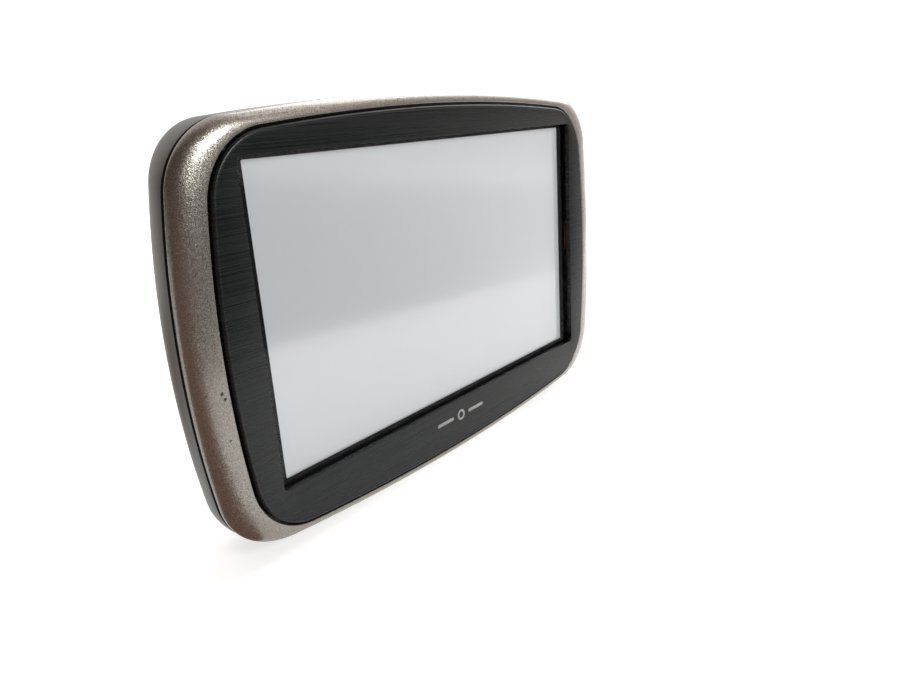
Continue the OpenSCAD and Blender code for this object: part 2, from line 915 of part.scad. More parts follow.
module contact_pins() {
    proud = 0.15;
    color([0.85, 0.68, 0.3])
        stand()
            for (i = [0 : contact_count - 1])
                translate([contact_at[0] + (i - (contact_count - 1) / 2) * contact_pitch,
                    contact_at[1], seat_sink - proud])
                    cylinder(r = contact_r, h = depth_z(board_back) - seat_sink + proud);
}

// Pan-head screw with a cross recess, head towards the back
module screw(r, head_r, head_t, l) {
    slot_w = 0.5 * r + 0.1;
    difference() {
        union() {
            cylinder(r = head_r, h = head_t);
            cylinder(r = r, h = head_t + l);
        }
        for (a = [0, 90])
            rotate([0, 0, a])
                translate([-slot_w / 2, -head_r * 0.6, -cut])
                    cube([slot_w, head_r * 1.2, head_t * 0.5 + cut]);
    }
}

module case_screws() {
    color([0.3, 0.3, 0.32])
        stand()
            for (p = case_screw_at)
                translate([p[0], p[1], case_head_sink])
                    screw(case_screw_r, case_head_r, case_head_t,
                        depth_z(chassis_back) + chassis_t - case_head_sink - case_head_t);
}

module board_screws() {
    color([0.7, 0.7, 0.72])
        stand()
            for (p = board_screw_at)
                translate([p[0], p[1], depth_z(board_back) - board_head_t])
                    screw(board_screw_r, board_head_r, board_head_t, board_t + 1.4);
}

front_bezel();
window_gasket();
trim_band();
seam_gasket();
rear_cover();
rating_label();
touch_panel();
touch_flex();
lcd_glass();
lcd_flex();
lcd_frame();
diffuser_sheet();
light_guide();
reflector_sheet();
backlight_leds();
mid_chassis();
main_board();
processor_can();
processor_chip();
memory_chips();
gps_can();
gps_chip();
antenna_block();
antenna_plate();
flex_sockets();
battery();
battery_pad();
battery_lead();
battery_socket();
speaker_basket();
speaker_magnet();
speaker_cone();
speaker_cloth();
power_button();
switch_stem();
switch_body();
usb_shell();
usb_tongue();
card_shell();
card_slider();
card_spring();
contact_block();
contact_pins();
case_screws();
board_screws();
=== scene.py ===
"""Shells, screen, controls and finishes of a portable navigator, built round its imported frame."""

from __future__ import annotations

import logging
import math
from dataclasses import astuple, dataclass, field
from enum import Enum

import bpy
import numpy as np
from mathutils import Matrix, Vector


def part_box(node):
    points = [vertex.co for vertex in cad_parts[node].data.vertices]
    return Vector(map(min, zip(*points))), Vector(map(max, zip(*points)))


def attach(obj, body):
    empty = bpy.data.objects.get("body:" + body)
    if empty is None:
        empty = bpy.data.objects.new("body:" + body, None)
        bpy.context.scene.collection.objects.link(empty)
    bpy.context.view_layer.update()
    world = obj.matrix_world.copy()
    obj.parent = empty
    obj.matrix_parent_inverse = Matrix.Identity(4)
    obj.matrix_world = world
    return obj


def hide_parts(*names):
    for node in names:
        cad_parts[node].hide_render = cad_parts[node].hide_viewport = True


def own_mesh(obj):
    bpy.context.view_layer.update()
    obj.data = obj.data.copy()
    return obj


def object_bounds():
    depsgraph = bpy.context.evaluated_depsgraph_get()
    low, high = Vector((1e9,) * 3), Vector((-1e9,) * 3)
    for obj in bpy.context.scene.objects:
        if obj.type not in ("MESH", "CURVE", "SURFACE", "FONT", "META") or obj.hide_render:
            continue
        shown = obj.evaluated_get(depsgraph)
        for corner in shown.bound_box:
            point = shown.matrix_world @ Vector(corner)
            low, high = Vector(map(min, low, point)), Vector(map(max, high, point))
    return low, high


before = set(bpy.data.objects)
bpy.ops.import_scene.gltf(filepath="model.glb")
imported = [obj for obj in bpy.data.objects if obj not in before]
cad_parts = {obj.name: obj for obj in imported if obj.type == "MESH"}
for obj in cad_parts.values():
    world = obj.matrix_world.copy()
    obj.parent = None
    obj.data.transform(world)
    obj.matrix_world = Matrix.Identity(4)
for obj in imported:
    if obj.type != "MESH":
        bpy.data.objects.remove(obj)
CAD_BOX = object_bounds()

Pair = tuple[float, float]
Triple = tuple[float, float, float]
Quad = tuple[float, float, float, float]
Piece = bpy.types.Object
Material = bpy.types.Material
Socket = bpy.types.NodeSocket

LOG = logging.getLogger("navigator")
MM = 0.001
SIDE_STEPS, CORNER_STEPS, LONG_STEPS = 16, 24, 32
SMALLEST_CORNER = 0.05
HOUSING = "housing"
POWER_KEY = "power_key"


class Axis(Enum):
    """Direction in which a well is sunk into the case."""

    BACK = "back"
    TOP = "top"
    BOTTOM = "bottom"
    RIGHT = "right"


# -------- outlines


def quarter_turn(centre: Pair, radius: float, start: float, end: float, steps: int) -> np.ndarray:
    """Points of one arc.

    Args:
        centre: Centre of the arc.
        radius: Its radius.
        start: Angle of the first point in radians.
        end: Angle of the last point in radians.
        steps: Number of chords.

    Returns:
        Array of steps + 1 points.
    """
    angle = np.linspace(start, end, steps + 1)
    return np.stack([centre[0] + radius * np.cos(angle), centre[1] + radius * np.sin(angle)], axis=1)


def bend(steps: int, first: int = 0) -> list[Pair]:
    """Sine and cosine at equal steps of a quarter turn, from the step with number first."""
    turns = [math.pi / 2 * k / steps for k in range(first, steps + 1)]
    return [(math.sin(turn), math.cos(turn)) for turn in turns]


def mirrored(quarter: np.ndarray) -> np.ndarray:
    """Closed outline from its first quarter, which runs from the +x axis to the +y axis.

    Args:
        quarter: Points as rows of two, from +x to +y.

    Returns:
        The whole outline.
    """
    left = quarter[-2::-1] * (-1, 1)
    lower = quarter[1:] * (-1, -1)
    right = quarter[-2:0:-1] * (1, -1)
    return np.concatenate([quarter, left, lower, right])


@dataclass(frozen=True)
class Barrel:
    """Outline with four bowed edges and four tangent corner arcs, in millimetres."""

    half_w: float
    half_h: float
    corner: float
    long_r: float
    short_r: float
    drop: float = 0.0

    def grown(self, by: float) -> Barrel:
        """The outline offset outwards."""
        *sizes, drop = astuple(self)
        return Barrel(*(size + by for size in sizes), drop)

    def towards(self, other: Barrel, share: float) -> Barrel:
        """The outline that lies a share of the way to another one."""
        return Barrel(*(a + (b - a) * share for a, b in zip(astuple(self), astuple(other))))

    def points(self) -> np.ndarray:
        """Closed outline, anticlockwise from the +x axis.

        Returns:
            Points as rows of two.
        """
        lift, reach = self.long_r - self.half_h, self.short_r - self.half_w
        far, near = self.long_r - self.corner, self.short_r - self.corner
        gap = math.hypot(lift, reach)
        along = (far**2 - near**2 + gap**2) / (2 * gap)
        aside = math.sqrt(far**2 - along**2)
        cx = (aside * lift - along * reach) / gap
        cy = (along * lift + aside * reach) / gap - lift
        low, high = math.atan2(cy, cx + reach), math.atan2(cy + lift, cx)
        side = quarter_turn((-reach, 0), self.short_r, 0, low, SIDE_STEPS)
        corner = quarter_turn((cx, cy), self.corner, low, high, CORNER_STEPS)
        top = quarter_turn((0, -lift), self.long_r, high, math.pi / 2, LONG_STEPS)
        return mirrored(np.concatenate([side, corner[1:], top[1:]])) - (0, self.drop)


@dataclass(frozen=True)
class Pane:
    """Rectangle with round corners, in millimetres."""

    width: float
    height: float
    corner: float
    centre: Pair = (0.0, 0.0)

    def grown(self, by: float) -> Pane:
        """The rectangle offset outwards, with a corner that stays real."""
        corner = max(self.corner + by, SMALLEST_CORNER)
        return Pane(self.width + 2 * by, self.height + 2 * by, corner, self.centre)

    def larger(self, by: float, corner: float) -> Pane:
        """The rectangle made wider and higher, with another corner."""
        return Pane(self.width + by, self.height + by, corner, self.centre)

    def points(self, side: int = SIDE_STEPS, corner: int = CORNER_STEPS, top: int = LONG_STEPS) -> np.ndarray:
        """Closed outline with as many points as a Barrel has, unless other counts are given.

        Args:
            side: Points along each straight side.
            corner: Points round each corner.
            top: Points along the top and bottom.

        Returns:
            Points as rows of two.
        """
        hw, hh, r = self.width / 2, self.height / 2, self.corner
        right = np.linspace((hw, 0), (hw, hh - r), side + 1)
        turn = quarter_turn((hw - r, hh - r), r, 0, math.pi / 2, corner)
        upper = np.linspace((hw - r, hh), (0, hh), top + 1)
        return mirrored(np.concatenate([right, turn[1:], upper[1:]])) + self.centre


# -------- meshes


def new_piece(name: str, points: np.ndarray, faces: list, spans: list[int] | None = None) -> Piece:
    """Makes a mesh object.

    Args:
        name: Name of the piece.
        points: Its points in metres.
        faces: Its faces as lists of point numbers.
        spans: Material slot of each face.

    Returns:
        The linked object, smooth shaded.
    """
    mesh = bpy.data.meshes.new(name)
    mesh.from_pydata(points.tolist(), [], faces)
    if spans is not None:
        mesh.polygons.foreach_set("material_index", spans)
    mesh.shade_smooth()
    mesh.validate()
    piece = bpy.data.objects.new(name, mesh)
    bpy.context.scene.collection.objects.link(piece)
    return piece


def skin(name: str, rings: list[np.ndarray], spans: list[int] | None = None, loop: bool = False) -> Piece:
    """Skins a closed surface over rings of points.

    Args:
        name: Name of the piece.
        rings: Rings with equal numbers of points, in metres.
        spans: Material slot of each band of faces between two rings.
        loop: Joins the last ring to the first. Otherwise both ends get a cap.

    Returns:
        The piece, with its normals pointing outwards.
    """
    count = len(rings[0])
    faces: list[list[int]] = []
    slots: list[int] = []
    pairs = len(rings) if loop else len(rings) - 1
    here = np.arange(count)
    after = (here + 1) % count
    for k in range(pairs):
        a, b = k * count, ((k + 1) % len(rings)) * count
        quads = np.stack([a + here, a + after, b + after, b + here], axis=1)
        faces.extend(quads.tolist())
        slots.extend([spans[k] if spans else 0] * count)
    if not loop:
        faces.append(list(range(count - 1, -1, -1)))
        faces.append([(len(rings) - 1) * count + i for i in range(count)])
        slots.extend([0, 0])
    piece = new_piece(name, np.concatenate(rings), faces, slots)
    face_outwards(piece)
    return piece


def face_outwards(piece: Piece) -> None:
    """Turns a closed mesh's faces so that its volume is positive.

    Args:
        piece: The closed mesh.
    """
    mesh = piece.data
    mesh.calc_loop_triangles()
    tris = np.array([[mesh.vertices[i].co for i in tri.vertices] for tri in mesh.loop_triangles])
    if np.einsum("ij,ij->i", tris[:, 0], np.cross(tris[:, 1], tris[:, 2])).sum() < 0:
        mesh.flip_normals()


def crisp(piece: Piece, degrees: float) -> None:
    """Keeps edges sharp where two faces meet at more than an angle."""
    piece.data.set_sharp_from_angle(angle=math.radians(degrees))


def joined(name: str, parts: list[Piece]) -> Piece:
    """Joins several meshes into one piece.

    Args:
        name: The joined piece's name.
        parts: The meshes, which are used up.

    Returns:
        The joined piece.
    """
    bpy.ops.object.select_all(action="DESELECT")
    for part in parts:
        part.select_set(True)
    bpy.context.view_layer.objects.active = parts[0]
    if len(parts) > 1:
        bpy.ops.object.join()
    parts[0].name = parts[0].data.name = name
    return parts[0]


def carve(piece: Piece, cutters: list[Piece]) -> None:
    """Cuts closed shapes out of a piece and removes them.

    Args:
        piece: The piece to cut.
        cutters: Shapes that don't touch one another.
    """
    tool = joined("cutter", cutters)
    cut = piece.modifiers.new("cut", "BOOLEAN")
    cut.operation, cut.solver, cut.object = "DIFFERENCE", "EXACT", tool
    graph = bpy.context.evaluated_depsgraph_get()
    mesh = bpy.data.meshes.new_from_object(piece.evaluated_get(graph))
    piece.modifiers.remove(cut)
    piece.data = mesh
    bpy.data.objects.remove(tool)


def dress(piece: Piece, slot: str, *finishes: Material, body: str = HOUSING) -> None:
    """Puts materials on a piece and lets it ride.

    Args:
        piece: The piece.
        slot: Material slot of the record; not used.
        finishes: Materials in the order of the mesh's slots.
        body: Body that it moves with.
    """
    piece.data.materials.clear()
    for finish in finishes:
        piece.data.materials.append(finish)
    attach(piece, body)
    LOG.info("piece %s: %d faces", piece.name, len(piece.data.polygons))


# -------- finishes


class Nodes:
    """Short hand for building a node tree."""

    def __init__(self, tree: bpy.types.NodeTree) -> None:
        """Takes the tree to build in."""
        self.tree = tree

    def feed(self, socket: Socket, source: object) -> None:
        """Links a socket to an output, or sets its value.

        Args:
            socket: The input.
            source: An output to link, or a plain value.
        """
        if isinstance(source, Socket):
            self.tree.links.new(source, socket)
        else:
            socket.default_value = source

    def node(self, kind: str, output: str, sources: dict | None = None, **values: object) -> Socket:
        """Adds a node.

        Args:
            kind: Type of the node.
            output: Name of the output to return.
            sources: Outputs or values for its inputs, by name or number.
            values: Values of its properties.

        Returns:
            The named output.
        """
        made = self.tree.nodes.new(kind)
        for key, value in values.items():
            setattr(made, key, value)
        for key, source in (sources or {}).items():
            self.feed(made.inputs[key], source)
        return made.outputs[output]

    def fit(self, value: Socket, low: float, high: float, to_low: float = 0, to_high: float = 1) -> Socket:
        """Maps a range of values onto another and clamps it."""
        span = {"Value": value, "From Min": low, "From Max": high, "To Min": to_low, "To Max": to_high}
        return self.node("ShaderNodeMapRange", "Result", span)

    def maths(self, operation: str, a: object, b: object) -> Socket:
        """One sum of two values."""
        return self.node("ShaderNodeMath", "Value", {0: a, 1: b}, operation=operation)

    def vector(self, operation: str, *sources: object, output: str = "Vector") -> Socket:
        """One sum of vectors."""
        return self.node("ShaderNodeVectorMath", output, dict(enumerate(sources)), operation=operation)

    def blend(self, share: object, first: object, second: object, kind: str = "RGBA") -> Socket:
        """Mixes two colours, or two values when the kind is FLOAT."""
        sources = {"Factor": share, "A": first, "B": second}
        return self.node("ShaderNodeMix", "Result", sources, data_type=kind)


class Graph(Nodes):
    """Nodes of one material round its Principled shader."""

    def __init__(self, name: str) -> None:
        """Starts the material.

        Args:
            name: The material's name.
        """
        self.material = bpy.data.materials.new(name)
        self.material.use_nodes = True
        super().__init__(self.material.node_tree)
        self.shader = self.tree.nodes["Principled BSDF"]
        self.place = self.node("ShaderNodeTexCoord", "Object")

    def plain(self, **values: float | tuple) -> None:
        """Sets sockets of the shader that hold one value all over."""
        for key, value in values.items():
            self.shader.inputs[key.replace("_", " ")].default_value = value

    def noise(self, scale: float, detail: float, rough: float = 0.5, stretch: Triple = (1, 1, 1)) -> Socket:
        """Cloudy noise from 0 to 1, scaled along each axis of the case's frame.

        Args:
            scale: Cells per metre.
            detail: Octaves.
            rough: Weight of the finer octaves.
            stretch: Scale along each axis.

        Returns:
            The noise.
        """
        place = self.node("ShaderNodeMapping", "Vector", {"Vector": self.place, "Scale": stretch})
        sources = {"Vector": place, "Scale": scale, "Detail": detail, "Roughness": rough}
        return self.node("ShaderNodeTexNoise", "Fac", sources)

    def cells(self, scale: float, output: str = "Color") -> Socket:
        """Small cells, each with its own random colour."""
        return self.node("ShaderNodeTexVoronoi", output, {"Vector": self.place, "Scale": scale})

    def channel(self, colour: Socket, name: str) -> Socket:
        """One channel of a colour."""
        return self.node("ShaderNodeSeparateColor", name, {0: colour})

    def bump(self, height: Socket, distance: float, strength: float = 1.0) -> Socket:
        """Raises the surface by a height map."""
        sources = {"Height": height, "Distance": distance, "Strength": strength}
        return self.node("ShaderNodeBump", "Normal", sources)

    def axis(self, name: str) -> Socket:
        """One coordinate of the place in the case's frame."""
        return self.node("ShaderNodeSeparateXYZ", name, {0: self.place})

    def finish(self, colour: object, rough: object, normal: Socket | None = None) -> Material:
        """Connects colour, roughness and normal, and returns the material.

        Args:
            colour: Base colour.
            rough: Roughness.
            normal: Bent normal, if there is one.

        Returns:
            The material.
        """
        self.feed(self.shader.inputs["Base Color"], colour)
        self.feed(self.shader.inputs["Roughness"], rough)
        if normal is not None:
            self.feed(self.shader.inputs["Normal"], normal)
        return self.material


def shade(colour: Triple, by: float = 1.0) -> Quad:
    """A colour made lighter or darker, with full cover."""
    return (colour[0] * by, colour[1] * by, colour[2] * by, 1.0)


@dataclass(frozen=True)
class Moulded:
    """Moulded plastic with a fine spark-eroded grain and slow changes of tone."""

    name: str
    colour: Triple
    rough: float = 0.45
    grain: float = 9000.0
    depth: float = 0.00001
    mottle: float = 0.08
    metallic: float = 0.0
    coat: float = 0.0
    gloss: float = 0.5

    def paint(self, g: Graph) -> Material:
        """Makes the material from its empty graph.

        Args:
            g: The material's empty graph.

        Returns:
            The finished material.
        """
        g.plain(Metallic=self.metallic, Coat_Weight=self.coat, Coat_Roughness=0.12,
                Specular_IOR_Level=self.gloss)
        slow = g.noise(60, 3)
        fine = g.noise(self.grain, 2, 0.6)
        colour = g.blend(slow, shade(self.colour, 1 - self.mottle), shade(self.colour, 1 + self.mottle))
        rough = g.fit(fine, 0.3, 0.7, self.rough - 0.05, self.rough + 0.06)
        return g.finish(colour, rough, g.bump(fine, self.depth))


MASK = Moulded("mask_black", (0.002, 0.002, 0.0024), 0.6, 3000, gloss=0.15)


@dataclass(frozen=True)
class BrushedBezel:
    """Satin black face with level hairlines, painted brighter toward the left as painted sheen, and a few
    specks of dust.
    """

    name: str = "bezel_satin"
    colour: Triple = (0.0052, 0.0074, 0.0078)
    rough: float = 0.29

    def paint(self, g: Graph) -> Material:
        """Makes the material from its empty graph.

        Args:
            g: The material's empty graph.

        Returns:
            The finished material.
        """
        g.plain(Specular_IOR_Level=0.42)
        hair = g.noise(1.0, 3, 0.65, (28, 28, 5200))
        broad = g.noise(1.0, 2, 0.5, (12, 12, 1100))
        # painted sheen: the hairlines are painted brighter toward the left side, where light picks them out
        left = g.fit(g.axis("X"), -0.068, 0.02, 1.0, 0.45)
        hairline_and_sheen = g.maths("MULTIPLY", g.fit(hair, 0.35, 0.75), left)
        colour = g.blend(hairline_and_sheen, shade(self.colour, 0.4), shade(self.colour, 2.6))
        colour = g.blend(g.fit(broad, 0.4, 0.8, 0, 0.3), colour, shade(self.colour, 1.5))
        specks = g.fit(g.cells(420, "Distance"), 0.035, 0.06, 1.0, 0.0)
        rare = g.fit(g.noise(90, 1), 0.62, 0.66)
        dust = g.maths("MULTIPLY", g.maths("MULTIPLY", specks, rare), 0.4)
        colour = g.blend(dust, colour, (0.5, 0.5, 0.48, 1))
        rough = g.fit(hair, 0.3, 0.8, self.rough - 0.07, self.rough + 0.1)
        return g.finish(colour, rough, g.bump(hair, 0.00003, 0.9))


@dataclass(frozen=True)
class SparklePaint:
    """Metallic paint with flakes that tilt each their own way, and chips near the bezel."""

    name: str = "band_sparkle"
    colour: Triple = (0.32, 0.308, 0.275)
    warm: Quad = (0.34, 0.29, 0.24, 1)
    under: Triple = (0.012, 0.011, 0.01)
    chips: tuple[Quad, ...] = (
        (-66.6, -9.6, 38.8, 0.42),
        (-66.2, -9.7, 37.6, 0.3),
        (-67.3, -9.4, 38.9, 0.28),
        (-66.4, -9.6, 29.5, 0.22),
    )
    ragged: float = 0.00022
    rough: float = 0.34
    flake: float = 8000.0
    finer: float = 1.7
    tilt: float = 0.18

    def paint(self, g: Graph) -> Material:
        """Makes the material from its empty graph.

        Args:
            g: The material's empty graph.

        Returns:
            The finished material.
        """
        g.plain(Metallic=0.94, Coat_Weight=1.0, Coat_Roughness=0.12)
        flakes = g.cells(self.flake)
        both = g.maths("ADD", g.channel(flakes, "Red"), g.channel(g.cells(self.flake * self.finer), "Green"))
        colour = g.blend(g.fit(both, 0.2, 1.8), shade(self.colour, 0.55), shade(self.colour, 1.5))
        colour = g.blend(g.fit(g.noise(140, 2), 0.35, 0.7, 0, 0.3), colour, self.warm)
        for *spot, radius in self.chips:
            away = g.vector("DISTANCE", g.place, [c * MM for c in spot], output="Value")
            edge = g.maths("ADD", away, g.fit(g.noise(2600, 2), 0.2, 0.8, -self.ragged, self.ragged))
            worn = g.fit(edge, radius * MM * 0.8, radius * MM, 1, 0)
            colour = g.blend(worn, colour, shade(self.under))
        rough = g.fit(g.channel(flakes, "Green"), 0, 1, self.rough - 0.09, self.rough + 0.12)
        tilt = g.vector("MULTIPLY_ADD", flakes, (self.tilt,) * 3, (-self.tilt / 2,) * 3)
        lean = g.vector("ADD", g.node("ShaderNodeNewGeometry", "Normal"), tilt)
        return g.finish(colour, rough, g.vector("NORMALIZE", lean))


@dataclass(frozen=True)
class CoverPlastic:
    """Grey satin cover with a silky grain, rubbed marks and slow changes of tone."""

    name: str = "cover_satin"
    colour: Triple = (0.168, 0.175, 0.16)
    rough: float = 0.4

    def paint(self, g: Graph) -> Material:
        """Makes the material from its empty graph.

        Args:
            g: The material's empty graph.

        Returns:
            The finished material.
        """
        g.plain(Metallic=0.25, Coat_Weight=0.1, Coat_Roughness=0.3)
        slow = g.noise(38, 3)
        fine = g.noise(6500, 2, 0.6)
        rub = g.noise(1.0, 4, 0.7, (420, 60, 150))
        place = g.fit(g.noise(30, 1), 0.5, 0.68)
        scuff = g.maths("MULTIPLY", g.fit(rub, 0.56, 0.74), place)
        colour = g.blend(slow, shade(self.colour, 0.88), shade(self.colour, 1.13))
        colour = g.blend(g.fit(fine, 0.3, 0.7, 0, 0.25), colour, shade(self.colour, 1.35))
        colour = g.blend(g.maths("MULTIPLY", scuff, 0.28), colour, (0.42, 0.43, 0.4, 1))
        rough = g.maths("ADD", g.fit(fine, 0.3, 0.7, self.rough - 0.04, self.rough + 0.05),
                        g.maths("MULTIPLY", scuff, 0.14))
        return g.finish(colour, rough, g.bump(fine, 0.000008, 0.7))


@dataclass(frozen=True)
class SheetMetal:
    """Thin rolled or plated metal with fine directional marks."""

    name: str
    colour: Triple
    rough: float = 0.3
    stretch: Triple = (60, 60, 4000)

    def paint(self, g: Graph) -> Material:
        """Makes the material from its empty graph.

        Args:
            g: The material's empty graph.

        Returns:
            The finished material.
        """
        g.plain(Metallic=1.0)
        lines = g.noise(1.0, 3, 0.6, self.stretch)
        blot = g.noise(220, 3)
        colour = g.blend(blot, shade(self.colour, 0.88), shade(self.colour, 1.08))
        rough = g.fit(lines, 0.3, 0.7, self.rough - 0.08, self.rough + 0.12)
        return g.finish(colour, rough, g.bump(lines, 0.000006, 0.5))


@dataclass(frozen=True)
class PanelGlass:
    """Clear panel over the screen, seen as a faint mirror with smears."""

    name: str = "touch_clear"
    rough: float = 0.1
    mirror: float = 0.015

    def paint(self, g: Graph) -> Material:
        """Makes the material from its empty graph.

        Args:
            g: The material's empty graph.

        Returns:
            The finished material.
        """
        g.plain(Metallic=1.0, Alpha=self.mirror)
        smear = g.noise(70, 4, 0.6)
        rough = g.fit(smear, 0.35, 0.7, self.rough - 0.03, self.rough + 0.04)
        tint = g.blend(smear, shade((0.9, 0.93, 0.95)), shade((0.95, 0.97, 0.98)))
        return g.finish(tint, rough)


@dataclass(frozen=True)
class ScreenFace:
    """Switched-off screen: pale grey with a faint cell pattern under a satin film."""

    name: str = "screen_off"
    colour: Triple = (0.69, 0.75, 0.785)

    def paint(self, g: Graph) -> Material:
        """Makes the material from its empty graph.

        Args:
            g: The material's empty graph.

        Returns:
            The finished material.
        """
        g.plain(Coat_Weight=1.0, Coat_Roughness=0.13, Coat_IOR=2.1)
        rows = g.noise(1.0, 1, 0.5, (3600, 10, 3600))
        slow = g.noise(14, 2)
        colour = g.blend(slow, shade(self.colour, 0.97), shade(self.colour, 1.03))
        colour = g.blend(g.fit(rows, 0.3, 0.7, 0, 0.06), colour, shade(self.colour, 0.8))
        return g.finish(colour, g.fit(slow, 0.3, 0.7, 0.36, 0.42))


@dataclass(frozen=True)
class Woven:
    """Fine mesh cloth behind the speaker holes."""

    name: str
    colour: Triple
    pitch: float = 0.00022

    def paint(self, g: Graph) -> Material:
        """Makes the material from its empty graph.

        Args:
            g: The material's empty graph.

        Returns:
            The finished material.
        """
        turns = 2 * math.pi / self.pitch
        across = g.maths("SINE", g.maths("MULTIPLY", g.axis("X"), turns), 0)
        upward = g.maths("SINE", g.maths("MULTIPLY", g.axis("Z"), turns), 0)
        weave = g.fit(g.maths("MULTIPLY", across, upward), -1, 1)
        colour = g.blend(weave, shade(self.colour, 0.5), shade(self.colour, 1.8))
        return g.finish(colour, 0.85, g.bump(weave, 0.00004))


@dataclass(frozen=True)
class Board:
    """Solder mask over copper tracks, with plated pads."""

    name: str = "solder_mask"
    colour: Triple = (0.02, 0.13, 0.06)

    def paint(self, g: Graph) -> Material:
        """Makes the material from its empty graph.

        Args:
            g: The material's empty graph.

        Returns:
            The finished material.
        """
        g.plain(Coat_Weight=0.5, Coat_Roughness=0.15)
        tracks = g.fit(g.cells(700, "Distance"), 0.42, 0.5)
        pads = g.fit(g.cells(950, "Distance"), 0.1, 0.13, 1, 0)
        spread = g.fit(g.noise(180, 1), 0.56, 0.6)
        colour = g.blend(tracks, shade(self.colour, 1.0), shade(self.colour, 1.7))
        colour = g.blend(g.maths("MULTIPLY", pads, spread), colour, (0.55, 0.5, 0.38, 1))
        return g.finish(colour, 0.4, g.bump(tracks, 0.00002, 0.6))


@dataclass
class Palette:
    """Every finish of the unit, made once."""

    made: dict[str, Material] = field(default_factory=dict)

    def get(self, finish: object) -> Material:
        """The material of a finish, made at its first use.

        Args:
            finish: The finish.

        Returns:
            Its material.
        """
        if finish.name not in self.made:
            self.made[finish.name] = finish.paint(Graph(finish.name))
        return self.made[finish.name]


# -------- the case


def middle(node: str) -> Triple:
    """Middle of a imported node's box, in millimetres."""
    return tuple((low + high) / 2 / MM for low, high in zip(*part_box(node)))


@dataclass(frozen=True)
class CaseForm:
    """Outlines that the case's pieces share, in millimetres, with depth counted from the front."""

    half_w: float
    half_h: float
    depth: float
    corner: float = 15.1
    long_r: float = 552.0
    short_r: float = 190.0
    bezel_margin: Pair = (7.2, 3.0)
    bezel_drop: float = 0.3
    bezel_corner: float = 14.1
    bezel_short_r: float = 219.0
    seam_depth: float = 3.5
    seam_gap: float = 0.9
    window: Pane = Pane(113.4, 65.7, 1.2, (0.0, 2.05))

    @classmethod
    def from_frame(cls) -> CaseForm:
        """Reads the case's width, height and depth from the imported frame.

        Returns:
            The case's form.
        """
        low, high = CAD_BOX
        size = (high - low) / MM
        return cls(half_w=size.x / 2, half_h=size.z / 2, depth=size.y)

    def seam(self) -> Barrel:
        """Outline of the band where it meets the seam."""
        return Barrel(self.half_w, self.half_h, self.corner, self.long_r, self.short_r)

    def bezel(self) -> Barrel:
        """Outline of the bezel's edge."""
        half_w, half_h = self.half_w - self.bezel_margin[0], self.half_h - self.bezel_margin[1]
        return Barrel(half_w, half_h, self.bezel_corner, self.long_r, self.bezel_short_r, self.bezel_drop)

    def cover_front(self) -> float:
        """Depth of the rear cover's front edge."""
        return self.seam_depth + self.seam_gap

    def stand(self, outline: np.ndarray, depth: float) -> np.ndarray:
        """Places outline points upright in the frame.

        Args:
            outline: Points as seen from the front, from the case's centre, in millimetres.
            depth: How far they lie behind the front face, in millimetres.

        Returns:
            Points in metres.
        """
        x, up = outline.T
        return np.stack([x, np.full(len(x), depth - self.depth / 2), up + self.half_h], axis=1) * MM

    def rings(self, section: list[tuple[Barrel | Pane, float]]) -> list[np.ndarray]:
        """Rings of a skinned piece from the outlines and depths of its section."""
        return [self.stand(shape.points(), depth) for shape, depth in section]


@dataclass
class FrontBezel:
    """Black frame with a flat face, a round rim and a flange behind the band."""

    form: CaseForm
    rim: float = 0.6
    rim_steps: int = 8
    crest: float = 0.12
    crest_top: float = 0.4
    face_sink: float = 0.045
    edge: float = 0.07
    edge_shares: Triple = (0.35, 0.75, 1.0)
    face_t: float = 1.3
    cavity_growth: float = 3.2
    cavity_corner: float = 0.1
    flange_depths: Pair = (2.4, 3.4)
    flange_reach: float = 1.7

    def build(self) -> Piece:
        """Skins the bezel round its section.

        Returns:
            The bezel.
        """
        form, edge = self.form, self.form.bezel()
        near, far = self.flange_depths
        cavity = form.window.larger(self.cavity_growth, self.cavity_corner)
        section = [(edge.grown(self.flange_reach), far), (edge.grown(self.flange_reach), near)]
        section += [(edge, near), (edge, self.rim)]
        section += [(edge.grown(-self.rim * (1 - c)), self.rim * (1 - s)) for s, c in bend(self.rim_steps, 1)]
        gloss = len(section)
        section += [
            (edge.grown(-self.rim - self.crest * self.crest_top), 0),
            (edge.grown(-self.rim - self.crest), self.face_sink),
            (form.window.grown(self.edge), self.face_sink),
        ]
        satin = len(section)
        for share in self.edge_shares:
            turn = math.pi / 2 * share
            outline = form.window.grown(self.edge * (1 - math.sin(turn)))
            section.append((outline, self.face_sink + self.edge * (1 - math.cos(turn))))
        section += [(form.window, self.face_t), (cavity, self.face_t), (cavity, far)]
        spans = [1] * gloss + [0] * (satin - gloss) + [1] * (len(section) - satin)
        piece = skin("bezel_frame", form.rings(section), spans, loop=True)
        crisp(piece, 28)
        return piece

    def make(self, palette: Palette) -> None:
        """Builds and dresses the bezel.

        Args:
            palette: The finishes made so far.
        """
        piece = self.build()
        gloss = Moulded("bezel_edge", (0.003, 0.0034, 0.0036), 0.4, 5000, 0.000002, 0.05, gloss=0.3)
        dress(piece, "bezel_plastic", palette.get(BrushedBezel()), palette.get(gloss))
        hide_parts("front_bezel")


